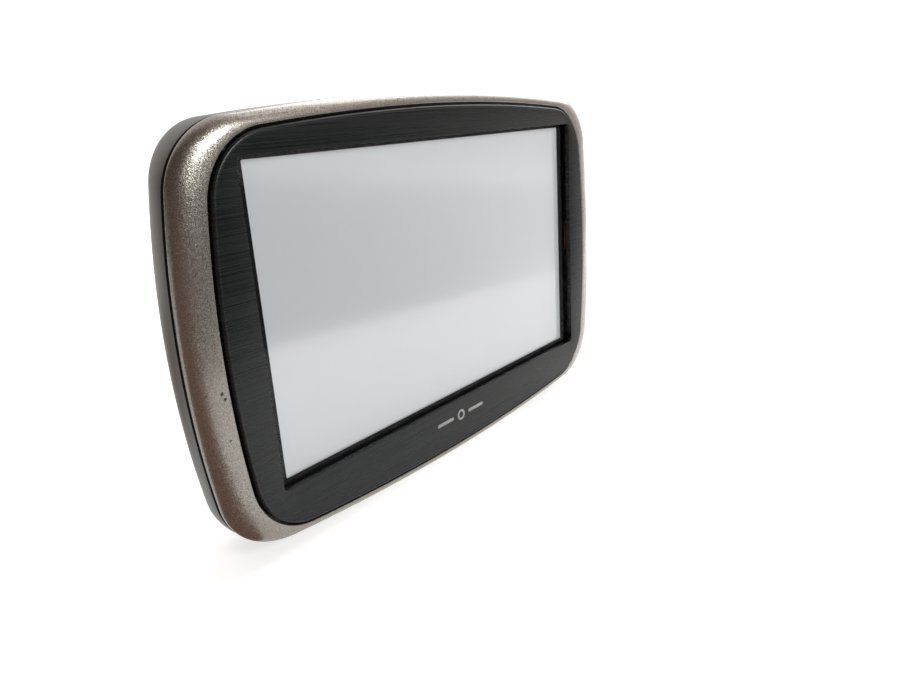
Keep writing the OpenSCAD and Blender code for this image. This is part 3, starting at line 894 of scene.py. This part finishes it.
@dataclass
class PrintedMark:
    """Plain mark printed under the window: a ring between two bars."""

    form: CaseForm
    centre: Pair = (0.0, -35.0)
    bar: Triple = (6.4, 0.9, 0.44)
    offset: float = 6.2
    ring: Pair = (1.45, 0.85)
    ring_steps: int = 48
    depth: float = 0.043
    print_t: float = 0.004
    root: float = 0.01

    def make(self, palette: Palette) -> None:
        """Builds the two bars and the ring as one thin print.

        Args:
            palette: The finishes made so far.
        """
        form = self.form
        near, far = self.depth - self.print_t, self.depth + self.root
        parts = []
        for side in (-1, 1):
            at = (self.centre[0] + side * self.offset, self.centre[1])
            points = Pane(*self.bar, at).points(2, 8, 4)
            parts.append(skin("bar", [form.stand(points, near), form.stand(points, far)]))
        turn = np.linspace(0, 2 * math.pi, self.ring_steps, endpoint=False)
        circle = np.stack([np.cos(turn), np.sin(turn)], axis=1)
        outer, inner = (circle * r + self.centre for r in self.ring)
        corners = [(outer, far), (outer, near), (inner, near), (inner, far)]
        parts.append(skin("ring", [form.stand(points, depth) for points, depth in corners], loop=True))
        piece = joined("bezel_mark", parts)
        ink = Moulded("mark_ink", (0.42, 0.43, 0.43), 0.4, 8000, 0.000002, 0.06)
        dress(piece, "bezel_plastic", palette.get(ink))


@dataclass
class TrimBand:
    """Crowned metallic band between the bezel's groove and the seam."""

    form: CaseForm
    groove: float = 0.5
    lip_depth: float = 0.45
    lip_round: float = 0.22
    lip_steps: int = 4
    seam_round: float = 0.2
    seam_steps: int = 3
    crown_steps: int = 22
    inner_step: Pair = (1.85, 2.25)

    def build(self) -> Piece:
        """Skins the band round its section.

        Returns:
            The band.
        """
        form = self.form
        seam, lip = form.seam(), form.bezel().grown(self.groove + self.lip_round)
        reach, shelf = self.inner_step
        foot, turned = form.seam_depth, self.seam_round
        rise = foot - turned - self.lip_depth
        section = [(seam.grown(-turned * (1 - s)), foot - turned * (1 - c)) for s, c in bend(self.seam_steps)]
        section += [(lip.towards(seam, c), foot - turned - rise * s) for s, c in bend(self.crown_steps, 1)]
        for s, c in bend(self.lip_steps, 1):
            section.append((lip.grown(-self.lip_round * s), self.lip_depth + self.lip_round * (1 - c)))
        inner = form.bezel().grown(reach)
        section += [(form.bezel().grown(self.groove), shelf), (inner, shelf), (inner, foot)]
        piece = skin("band_shell", form.rings(section), loop=True)
        crisp(piece, 40)
        return piece

    def make(self, palette: Palette) -> None:
        """Builds and dresses the band.

        Args:
            palette: The finishes made so far.
        """
        piece = self.build()
        dress(piece, "band_paint", palette.get(SparklePaint()))
        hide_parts("trim_band")


@dataclass
class SeamGasket:
    """Dark strip sunk in the seam."""

    form: CaseForm
    sink: float = 0.1
    width: float = 0.75
    play: float = 0.01
    hollow: float = 0.08

    def make(self, palette: Palette) -> None:
        """Builds and dresses the gasket.

        Args:
            palette: The finishes made so far.
        """
        form = self.form
        outer, inner = form.seam().grown(-self.sink), form.seam().grown(-self.sink - self.width)
        near, far = form.seam_depth, form.cover_front()
        front, back = near + self.play, far - self.play
        section = [(outer, front), (outer.grown(-self.hollow), (near + far) / 2), (outer, back)]
        section += [(inner, back), (inner, front)]
        piece = skin("seam_strip", form.rings(section), loop=True)
        crisp(piece, 50)
        foam = Moulded("gasket_black", (0.002, 0.002, 0.002), 0.8, 4000, gloss=0.1)
        dress(piece, "gasket_foam", palette.get(foam))
        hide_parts("seam_gasket")


@dataclass
class RearCover:
    """Swept rear shell with all its openings."""

    form: CaseForm
    wall: float = 1.8
    inset: float = 0.1
    side_sweep: float = 16.8
    end_sweep: float = 6.0
    back_corner: float = 11.0
    end_power: float = 4.5
    steps: int = 34
    edge: float = 0.14
    edge_steps: int = 3
    seat: Pane = Pane(46, 34, 3, (0, -12))
    seat_depth: float = 0.8
    pocket: Triple = (12, 2.6, 0.2)
    pocket_offset: float = 15.68
    pocket_depth: float = 0.6
    contacts: Pane = Pane(19.3, 5.3, 1, (0, -24))
    label: Pane = Pane(60.4, 20.4, 1.5, (0, 22))
    label_depth: float = 0.2
    key: Triple = (12.24, 3.24, 1.6)
    usb: Triple = (8.5, 4.7, 1)
    card: Triple = (12.4, 1.5, 0.3)
    starts: Triple = (1.15, 0.6, 1.9)
    reaches: Triple = (4, 4, 5)
    screws: tuple[Pair, ...] = ((-50, -31), (50, -31), (-50, 31), (50, 31))
    screw_well: Pair = (2.3, 1.7)
    speaker: Pair = (-38.0, -12.0)
    grille_rings: int = 3
    grille_pitch: float = 2.7
    grille_r: float = 0.75
    scoop_r: float = 4.5
    scoop_out: float = 1.0
    scoop_steps: tuple[int, int] = (18, 40)

    def swept(self, inside: float, share: float) -> tuple[Barrel, float]:
        """Outline and depth of the wall at a share of its sweep.

        Args:
            inside: How far inside the outer surface it lies.
            share: 0 at the seam and 1 at the back.

        Returns:
            The outline and its depth.
        """
        form = self.form
        front = form.cover_front()
        s, c = math.sin(math.pi / 2 * share), math.cos(math.pi / 2 * share)
        side_in = (self.side_sweep - inside) * (1 - c)
        end_in = (self.end_sweep - inside) * (1 - (1 - s**self.end_power) ** (1 / self.end_power))
        half_w = form.half_w - self.inset - inside - side_in
        half_h = form.half_h - self.inset - inside - end_in
        corner = form.corner - inside + (self.back_corner - form.corner) * s
        outline = Barrel(half_w, half_h, corner, form.long_r, form.short_r)
        return outline, front + (form.depth - front - inside) * s

    def shell(self) -> Piece:
        """Skins the cup, from the inside of its back round the rim to the outside of its back.

        Returns:
            The open shell.
        """
        form, front = self.form, self.form.cover_front()
        shares = np.linspace(0, 1, self.steps + 1)
        section = [self.swept(self.wall, share) for share in shares[:0:-2]]
        section.append((self.swept(self.wall, 0)[0], front))
        mouth = self.swept(0, 0)[0]
        for s, c in bend(self.edge_steps):
            section.append((mouth.grown(-self.edge * (1 - s)), front + self.edge * (1 - c)))
        section += [self.swept(0, share) for share in shares[2:]]
        return skin("cover_shell", form.rings(section))

    def well(self, shape: Pane, axis: Axis, start: float, depth: float, chamfer: float = 0.18) -> Piece:
        """Cutter for an opening with a small chamfer.

        Args:
            shape: Outline of the opening, seen along the cut.
            axis: Side that it is cut from.
            start: Distance of the side's surface from the case's centre, or its depth under the back.
            depth: How deep it goes.
            chamfer: Width of the broken edge.

        Returns:
            The closed cutter.
        """
        above = 0.6 if start == 0 or axis is not Axis.BACK else 0.3
        levels = [(-above, chamfer), (0, chamfer), (chamfer, 0), (depth, 0)]
        flats = [(shape.grown(growth).points(3, 8, 4), level) for level, growth in levels]
        return skin("cutter", [self.turned(flat, axis, start, level) for flat, level in flats])

    def turned(self, flat: np.ndarray, axis: Axis, start: float, level: float) -> np.ndarray:
        """Points of a cutter's ring in the frame, in metres.

        Args:
            flat: The ring as rows of two, in millimetres.
            axis: The face that the cutter enters.
            start: Where the cutter starts.
            level: How far in the ring lies.

        Returns:
            Points as rows of three.
        """
        form = self.form
        if axis is Axis.BACK:
            return form.stand(flat, form.depth - start - level)
        along, back = flat[:, 0], flat[:, 1] - form.depth / 2
        far = np.full(len(flat), start - level)
        upright = {
            Axis.TOP: (along, back, far + form.half_h),
            Axis.BOTTOM: (along, back, form.half_h - far),
            Axis.RIGHT: (far, back, along + form.half_h),
        }
        return np.stack(upright[axis], axis=1) * MM

    def round_well(self, at: Pair, radius: float, depth: float) -> Piece:
        """Cutter for a round hole in the back."""
        return self.well(Pane(2 * radius, 2 * radius, radius - 0.001, at), Axis.BACK, 0, depth)

    def grille(self) -> list[Piece]:
        """Cutters for the speaker holes: rings of six, twelve and eighteen round a middle one.

        Returns:
            One cutter for each hole.
        """
        places = [self.speaker]
        for ring in range(1, self.grille_rings + 1):
            for k in range(6 * ring):
                turn = math.radians(60 * k / ring)
                out = ring * self.grille_pitch
                x, up = out * math.cos(turn), out * math.sin(turn)
                places.append((self.speaker[0] + x, self.speaker[1] + up))
        return [self.round_well(at, self.grille_r, self.wall + 0.6) for at in places]

    def make(self, palette: Palette) -> None:
        """Builds the shell, cuts its openings and dresses it.

        Args:
            palette: The finishes made so far.
        """
        form = self.form
        piece = self.shell()
        usb, card, key = (middle(node) for node in ("usb_shell", "card_shell", "power_button"))
        half_t = form.depth / 2
        card_up, card_depth = card[2] - form.half_h, card[1] + half_t
        key_hole = Pane(*self.key, (key[0], key[1] + half_t))
        usb_hole = Pane(*self.usb, (usb[0], usb[1] + half_t))
        card_hole = Pane(*self.card, (card_up, card_depth))
        first = [
            self.well(self.seat, Axis.BACK, 0, self.seat_depth),
            self.well(self.label, Axis.BACK, 0, self.label_depth),
            self.well(key_hole, Axis.TOP, form.half_h - self.starts[0], self.reaches[0]),
            self.well(usb_hole, Axis.BOTTOM, form.half_h - self.starts[1], self.reaches[1]),
            self.well(card_hole, Axis.RIGHT, form.half_w - self.starts[2], self.reaches[2]),
        ]
        first += [self.round_well(at, *self.screw_well) for at in self.screws]
        carve(piece, first + self.grille())
        x, up = self.seat.centre
        pockets = [Pane(*self.pocket, (x, up + side * self.pocket_offset)) for side in (-1, 1)]
        seat = self.seat_depth
        carve(piece, [self.well(pocket, Axis.BACK, seat, self.pocket_depth, 0.02) for pocket in pockets])
        carve(piece, [self.well(self.contacts, Axis.BACK, seat, self.wall, 0.1)])
        carve(piece, [self.thumb_scoop(card_up, card_depth)])
        crisp(piece, 30)
        dress(piece, "cover_plastic", palette.get(CoverPlastic()))
        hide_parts("rear_cover")

    def thumb_scoop(self, up: float, depth: float) -> Piece:
        """Cutter for the shallow round scoop at the card slot.

        Args:
            up: Height of its middle.
            depth: Distance behind the front.

        Returns:
            The cutter.
        """
        form = self.form
        centre = Vector((form.half_w + self.scoop_out, depth - form.depth / 2, up + form.half_h)) * MM
        levels, count = self.scoop_steps
        turn = np.linspace(0, 2 * math.pi, count, endpoint=False)
        rings = []
        for k in range(1, levels):
            polar = math.pi * k / levels
            flat = math.sin(polar)
            ball = [np.cos(turn) * flat, np.sin(turn) * flat, np.full(count, math.cos(polar))]
            rings.append(np.stack(ball, axis=1) * self.scoop_r * MM + np.array(centre))
        return skin("cutter", rings)


@dataclass
class PowerButton:
    """Oblong key whose top follows the case's upper edge."""

    form: CaseForm
    width: float = 12.0
    thick: float = 3.0
    proud: float = 0.2
    round: float = 0.35
    round_steps: int = 5
    inset: float = 0.1
    wall: float = 1.8
    pusher: float = -0.7
    flange: float = 0.75

    def roof(self, x: np.ndarray, sink: float) -> np.ndarray:
        """Height of the case's upper edge above its foot, lowered by sink."""
        r = self.form.long_r
        return 2 * self.form.half_h - self.inset - sink - r + np.sqrt(r**2 - x**2)

    def ring(self, growth: float, level: float | None, sink: float = 0.0) -> np.ndarray:
        """Ring of the key, level or, without a level, along the case's upper edge.

        Args:
            growth: How far it stands outside the key.
            level: Its height, if it is level.
            sink: How far it lies below the edge.

        Returns:
            Points as rows of three.
        """
        pane = Pane(self.width, self.thick, self.thick / 2 - 0.02, middle("power_button")[:2])
        flat = pane.grown(growth).points(2, 14, 10)
        z = self.roof(flat[:, 0], sink) if level is None else np.full(len(flat), level)
        return np.stack([flat[:, 0], flat[:, 1], z], axis=1) * MM

    def make(self, palette: Palette) -> None:
        """Builds and dresses the key with its flange and pusher.

        Args:
            palette: The finishes made so far.
        """
        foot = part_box("power_button")[0].z / MM
        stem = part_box("switch_stem")[1].z / MM
        rings = [
            self.ring(self.pusher, stem + 0.02),
            self.ring(self.pusher, foot + 0.75),
            self.ring(self.flange, foot + 0.8),
            self.ring(self.flange, None, self.wall + 0.25),
            self.ring(0, None, self.wall + 0.2),
        ]
        for s, c in bend(self.round_steps):
            rings.append(self.ring(-self.round * (1 - c), None, -self.proud + self.round * (1 - s)))
        rings.append(self.ring(-0.9, None, -self.proud))
        piece = skin("power_key_cap", rings)
        crisp(piece, 38)
        satin = Moulded("key_satin", (0.03, 0.031, 0.032), 0.38, 7000)
        dress(piece, "button_plastic", palette.get(satin), body=POWER_KEY)
        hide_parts("power_button")


@dataclass
class ScreenUnit:
    """Clear touch panel and dark mask in front of the screen."""

    form: CaseForm
    lit: Pane = Pane(108.4, 63.7, 0.3, (0.17, 2.22))
    panel_depths: Pair = (1.5, 2.6)
    slab_growth: float = 2.6
    slab_corner: float = 0.4
    mask_depth: float = 2.66
    mask_t: float = 0.05
    mask_inset: float = 0.5
    edge: float = 0.12
    printed: float = 0.9

    def make(self, palette: Palette) -> None:
        """Builds and dresses the panel and the mask.

        Args:
            palette: The finishes made so far.
        """
        form = self.form
        near, far = self.panel_depths
        slab = form.window.larger(self.slab_growth, self.slab_corner)
        edge, printed = slab.grown(-self.edge), slab.grown(-self.printed)
        section = [(printed, far), (edge, far), (slab, far - self.edge)]
        section += [(slab, near + self.edge), (edge, near), (printed, near)]
        panel = skin("touch_pane", form.rings(section), [1] * 5)
        crisp(panel, 25)
        dress(panel, "touch_glass", palette.get(PanelGlass()), palette.get(MASK))
        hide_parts("touch_panel")
        rim = slab.grown(-self.mask_inset)
        back = self.mask_depth + self.mask_t
        section = [(rim, back), (rim, self.mask_depth), (self.lit, self.mask_depth), (self.lit, back)]
        mask = skin("screen_mask", form.rings(section), loop=True)
        crisp(mask, 30)
        dress(mask, "screen_glass", palette.get(MASK))


@dataclass
class CardSpring:
    """Fine coil spring behind the card socket's slider."""

    turns: float = 7.0
    wire: float = 0.1
    turn_steps: int = 20
    sides: int = 8

    def make(self, palette: Palette) -> None:
        """Winds the coil as a tube.

        Args:
            palette: The finishes made so far.
        """
        low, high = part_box("card_spring")
        centre = (low + high) / 2
        wire = self.wire * MM
        coil_r = (high.z - low.z) / 2 - wire
        steps = int(self.turns * self.turn_steps)
        length = high.x - low.x - 2.2 * self.wire * MM
        start = low.x + 1.1 * self.wire * MM
        along = Vector((1, 0, 0))
        rings = []
        for k in range(steps + 1):
            turn = 2 * math.pi * self.turns * (k / steps)
            spoke = Vector((0, math.cos(turn), math.sin(turn)))
            spot = Vector((start + length * (k / steps), centre.y, centre.z)) + spoke * coil_r
            ring = [
                spot + (spoke * math.cos(t) + along * math.sin(t)) * self.wire * MM
                for t in np.linspace(0, 2 * math.pi, self.sides, endpoint=False)
            ]
            rings.append(np.array([list(p) for p in ring]))
        piece = skin("card_coil", rings)
        dress(piece, "tray_steel", palette.get(SheetMetal("spring_wire", (0.62, 0.63, 0.65), 0.25)))
        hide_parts("card_spring")
        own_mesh(piece)


# -------- CAD pieces that keep their shape


@dataclass
class Innards:
    """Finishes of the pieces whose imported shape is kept."""

    def finishes(self) -> dict[object, str]:
        """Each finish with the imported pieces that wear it.

        Returns:
            Names in one string for each finish.
        """
        return {
            Moulded("frame_foam", (0.014, 0.014, 0.014), 0.9, 2500, 0.00004): "window_gasket",
            Moulded("label_blank", (0.46, 0.47, 0.46), 0.42, 9000, 0.000003, 0.04, 0.35): "rating_label",
            Moulded("amber_film", (0.42, 0.19, 0.03), 0.25, 4000, 0.000004, 0.15, coat=0.6): (
                "touch_flex lcd_flex"
            ),
            ScreenFace(): "lcd_glass",
            SheetMetal("tray_sheet", (0.56, 0.57, 0.58), 0.32): "lcd_frame",
            Moulded("white_film_matt", (0.86, 0.86, 0.84), 0.6, 5000, 0.000004, 0.02): (
                "diffuser_sheet reflector_sheet"
            ),
            Moulded("guide_acrylic", (0.7, 0.8, 0.82), 0.1, 2000, 0.000002, 0.03, coat=0.5): "light_guide",
            Moulded("led_lens", (0.9, 0.82, 0.4), 0.3): "backlight_leds",
            Moulded("chassis_resin", (0.05, 0.052, 0.055), 0.55, 3500, 0.00002): "mid_chassis",
            Board(): "main_board",
            SheetMetal("tin_plate", (0.62, 0.61, 0.58), 0.34): "processor_can gps_can usb_shell card_shell",
            Moulded("chip_epoxy", (0.018, 0.018, 0.02), 0.5, 6000): (
                "processor_chip memory_chips gps_chip switch_stem usb_tongue card_slider"
            ),
            Moulded("fired_ceramic", (0.52, 0.43, 0.31), 0.55, 3000, 0.00001, 0.1): "antenna_block",
            SheetMetal("silver_film", (0.8, 0.79, 0.76), 0.3, (400, 400, 400)): "antenna_plate",
            Moulded("socket_nylon_cream", (0.72, 0.69, 0.6), 0.45): "flex_sockets battery_socket switch_body",
            SheetMetal("pouch_foil", (0.6, 0.61, 0.63), 0.38, (300, 300, 900)): "battery",
            Moulded("pad_foam", (0.03, 0.03, 0.03), 0.9, 2500, 0.00004): "battery_pad",
            Moulded("lead_sleeve", (0.5, 0.02, 0.015), 0.4): "battery_lead",
            SheetMetal("zinc_plate", (0.36, 0.37, 0.38), 0.36): "speaker_basket speaker_magnet",
            Moulded("cone_pulp", (0.03, 0.03, 0.03), 0.8, 2600, 0.00003): "speaker_cone",
            Woven("grille_cloth", (0.018, 0.018, 0.018)): "speaker_cloth",
            Moulded("block_resin", (0.02, 0.02, 0.021), 0.4): "contact_block",
            SheetMetal("gold_flash", (0.83, 0.6, 0.24), 0.24, (800, 800, 800)): "contact_pins",
            SheetMetal("black_zinc", (0.09, 0.09, 0.095), 0.4, (900, 900, 900)): "case_screws",
            SheetMetal("bright_screw", (0.6, 0.6, 0.6), 0.28, (900, 900, 900)): "board_screws",
        }

    def make(self, palette: Palette) -> None:
        """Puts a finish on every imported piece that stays.

        Args:
            palette: The finishes made so far.
        """
        for finish, names in self.finishes().items():
            for name in names.split():
                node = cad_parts[name]
                node.data.materials.clear()
                node.data.materials.append(palette.get(finish))
                LOG.info("packed piece %s: %s", name, finish.name)


# -------- studio


@dataclass
class Studio:
    """Pale floor, soft lamps and the camera."""

    camera_at: Triple = (-0.13262, -0.12034, 0.08416)
    heading: float = 49.766
    tilt: float = -17.108
    roll: float = -3.815
    lens: float = 28.71
    floor_size: float = 6.0
    flag_up: float = 0.0006
    flag_edge: tuple[Pair, ...] = (
        (-0.062, 0.3), (-0.062, -0.02), (-0.06, -0.024), (-0.095, -0.142), (0.028, -0.127),
        (0.181, -0.099), (0.6, -0.02), (0.6, -2.9), (-2.9, -2.9), (-2.9, 0.3),
    )
    # painted shade of the floor by the unit's foot, seen only in reflections
    foot_shade_tone: Quad = (0.24, 0.14, 0.11, 1.0)
    dark: Quad = (0.03, 0.03, 0.03, 1)
    pale: Quad = (0.9, 0.9, 0.9, 1)
    bright_side: Triple = (0.7, 0.6, 0.45)
    backdrop: float = 1.15
    lamps: tuple[tuple[str, Triple, Pair, float], ...] = (
        ("side_box", (0.65, 0.15, 0.55), (0.8, 0.6), 3.9),
        ("front_box", (0.1, -0.6, 0.33), (0.26, 0.2), 1.9),
    )
    aim: Triple = (0, 0, 0.045)

    def camera(self) -> None:
        """Sets the camera up from its heading, tilt and roll."""
        data = bpy.data.cameras.new("camera")
        data.lens = self.lens
        data.clip_start = 0.005
        cam = bpy.data.objects.new("camera", data)
        bpy.context.scene.collection.objects.link(cam)
        turn = Matrix.Rotation(math.radians(-self.heading), 4, "Z")
        tip = Matrix.Rotation(math.radians(90 + self.tilt), 4, "X")
        spin = Matrix.Rotation(math.radians(self.roll), 4, "Z")
        cam.matrix_world = Matrix.Translation(self.camera_at) @ turn @ tip @ spin
        bpy.context.scene.camera = cam

    def floor(self) -> None:
        """Lays the pale floor, which glows more away from the unit and, in reflections, to its right."""
        half = self.floor_size / 2
        corners = np.array([(-half, -half, 0), (half, -half, 0), (half, half, 0), (-half, half, 0)])
        piece = new_piece("floor", corners, [[0, 1, 2, 3]])
        g = Graph("floor_pale")
        colour = g.blend(g.noise(3, 2), (0.86, 0.86, 0.855, 1), (0.9, 0.9, 0.895, 1))
        seen = g.fit(g.vector("LENGTH", g.place, output="Value"), 0.1, 0.4, 0.62, 1)
        right = g.maths("MULTIPLY", g.fit(g.axis("X"), 0.15, 0.35), g.fit(g.axis("Y"), -0.2, -0.05))
        seen = g.maths("MULTIPLY", seen, g.node("ShaderNodeLightPath", "Is Camera Ray"))
        glossy = g.node("ShaderNodeLightPath", "Is Glossy Ray")
        glow = g.maths("ADD", seen, g.maths("MULTIPLY", glossy, g.fit(right, 0, 1, 0.4, 1.5)))
        g.plain(Emission_Color=(1.0, 1.0, 1.0, 1.0))
        g.feed(g.shader.inputs["Emission Strength"], glow)
        piece.data.materials.append(g.finish(colour, 0.7))

    def flag(self) -> None:
        """Lays a card in front that only reflections see, a painted reflection: brown by the unit's foot as
        painted shade of the floor there, dark, then pale to the right.
        """
        points = np.array([(x, y, self.flag_up) for x, y in self.flag_edge])
        piece = new_piece("flag", points, [list(range(len(points)))])
        g = Graph("flag_dark")
        g.plain(Specular_IOR_Level=0.0, Emission_Strength=1.0)
        # painted shade: the brown patch by the unit's foot stands in for the shaded floor there; the whole
        # card glows as a painted reflection, pale to the right
        front = g.maths("MULTIPLY", g.fit(g.axis("X"), -0.1, -0.07), g.fit(g.axis("Y"), -0.08, -0.12))
        slant = g.maths("DIVIDE", g.axis("X"), g.maths("MULTIPLY", g.axis("Y"), -1))
        glow = g.blend(g.fit(slant, 0.7, 2.0), g.blend(front, self.foot_shade_tone, self.dark), self.pale)
        g.feed(g.shader.inputs["Emission Color"], glow)
        piece.data.materials.append(g.finish(shade((0.0, 0.0, 0.0)), 1.0))
        for ray in ("camera", "diffuse", "shadow", "transmission"):
            setattr(piece, f"visible_{ray}", False)

    def lamp(self, name: str, at: Triple, size: Pair, power: float) -> None:
        """Adds a soft box that faces the unit.

        Args:
            name: The lamp's name.
            at: Its place in metres.
            size: Its width and height in metres.
            power: Its power in watts.
        """
        data = bpy.data.lights.new(name, "AREA")
        data.shape = "RECTANGLE"
        data.size, data.size_y = size
        data.energy = power
        lamp = bpy.data.objects.new(name, data)
        bpy.context.scene.collection.objects.link(lamp)
        lamp.location = at
        lamp.rotation_euler = (Vector(self.aim) - Vector(at)).to_track_quat("-Z", "Y").to_euler()

    def sky(self) -> None:
        """Soft surrounding light, brighter to the right, behind and above; white where the camera looks."""
        world = bpy.data.worlds.new("surroundings")
        bpy.context.scene.world = world
        world.use_nodes = True
        g = Nodes(world.node_tree)
        back = g.tree.nodes["Background"]
        way = g.node("ShaderNodeTexCoord", "Generated")
        side = g.vector("DOT_PRODUCT", way, self.bright_side, output="Value")
        seen = g.node("ShaderNodeLightPath", "Is Camera Ray")
        strength = g.blend(seen, g.fit(side, 0.1, 0.6, 0.1, 0.82), self.backdrop, "FLOAT")
        g.feed(back.inputs["Strength"], strength)
        g.feed(back.inputs["Color"], g.blend(strength, (1.0, 0.7, 0.57, 1), (1.0, 1.0, 1.0, 1)))

    def make(self) -> None:
        """Builds the whole studio."""
        self.camera()
        self.floor()
        self.flag()
        self.sky()
        for name, at, size, power in self.lamps:
            self.lamp(name, at, size, power)
        bpy.context.scene.view_settings.view_transform = "Standard"


def main() -> None:
    """Builds the studio and every piece in order."""
    logging.basicConfig(level=logging.INFO, format="%(message)s")
    Studio().make()
    form = CaseForm.from_frame()
    palette = Palette()
    for assembly in (
        FrontBezel(form),
        PrintedMark(form),
        TrimBand(form),
        SeamGasket(form),
        RearCover(form),
        PowerButton(form),
        ScreenUnit(form),
        CardSpring(),
        Innards(),
    ):
        LOG.info("building %s", type(assembly).__name__)
        assembly.make(palette)


if __name__ == "__main__":
    main()
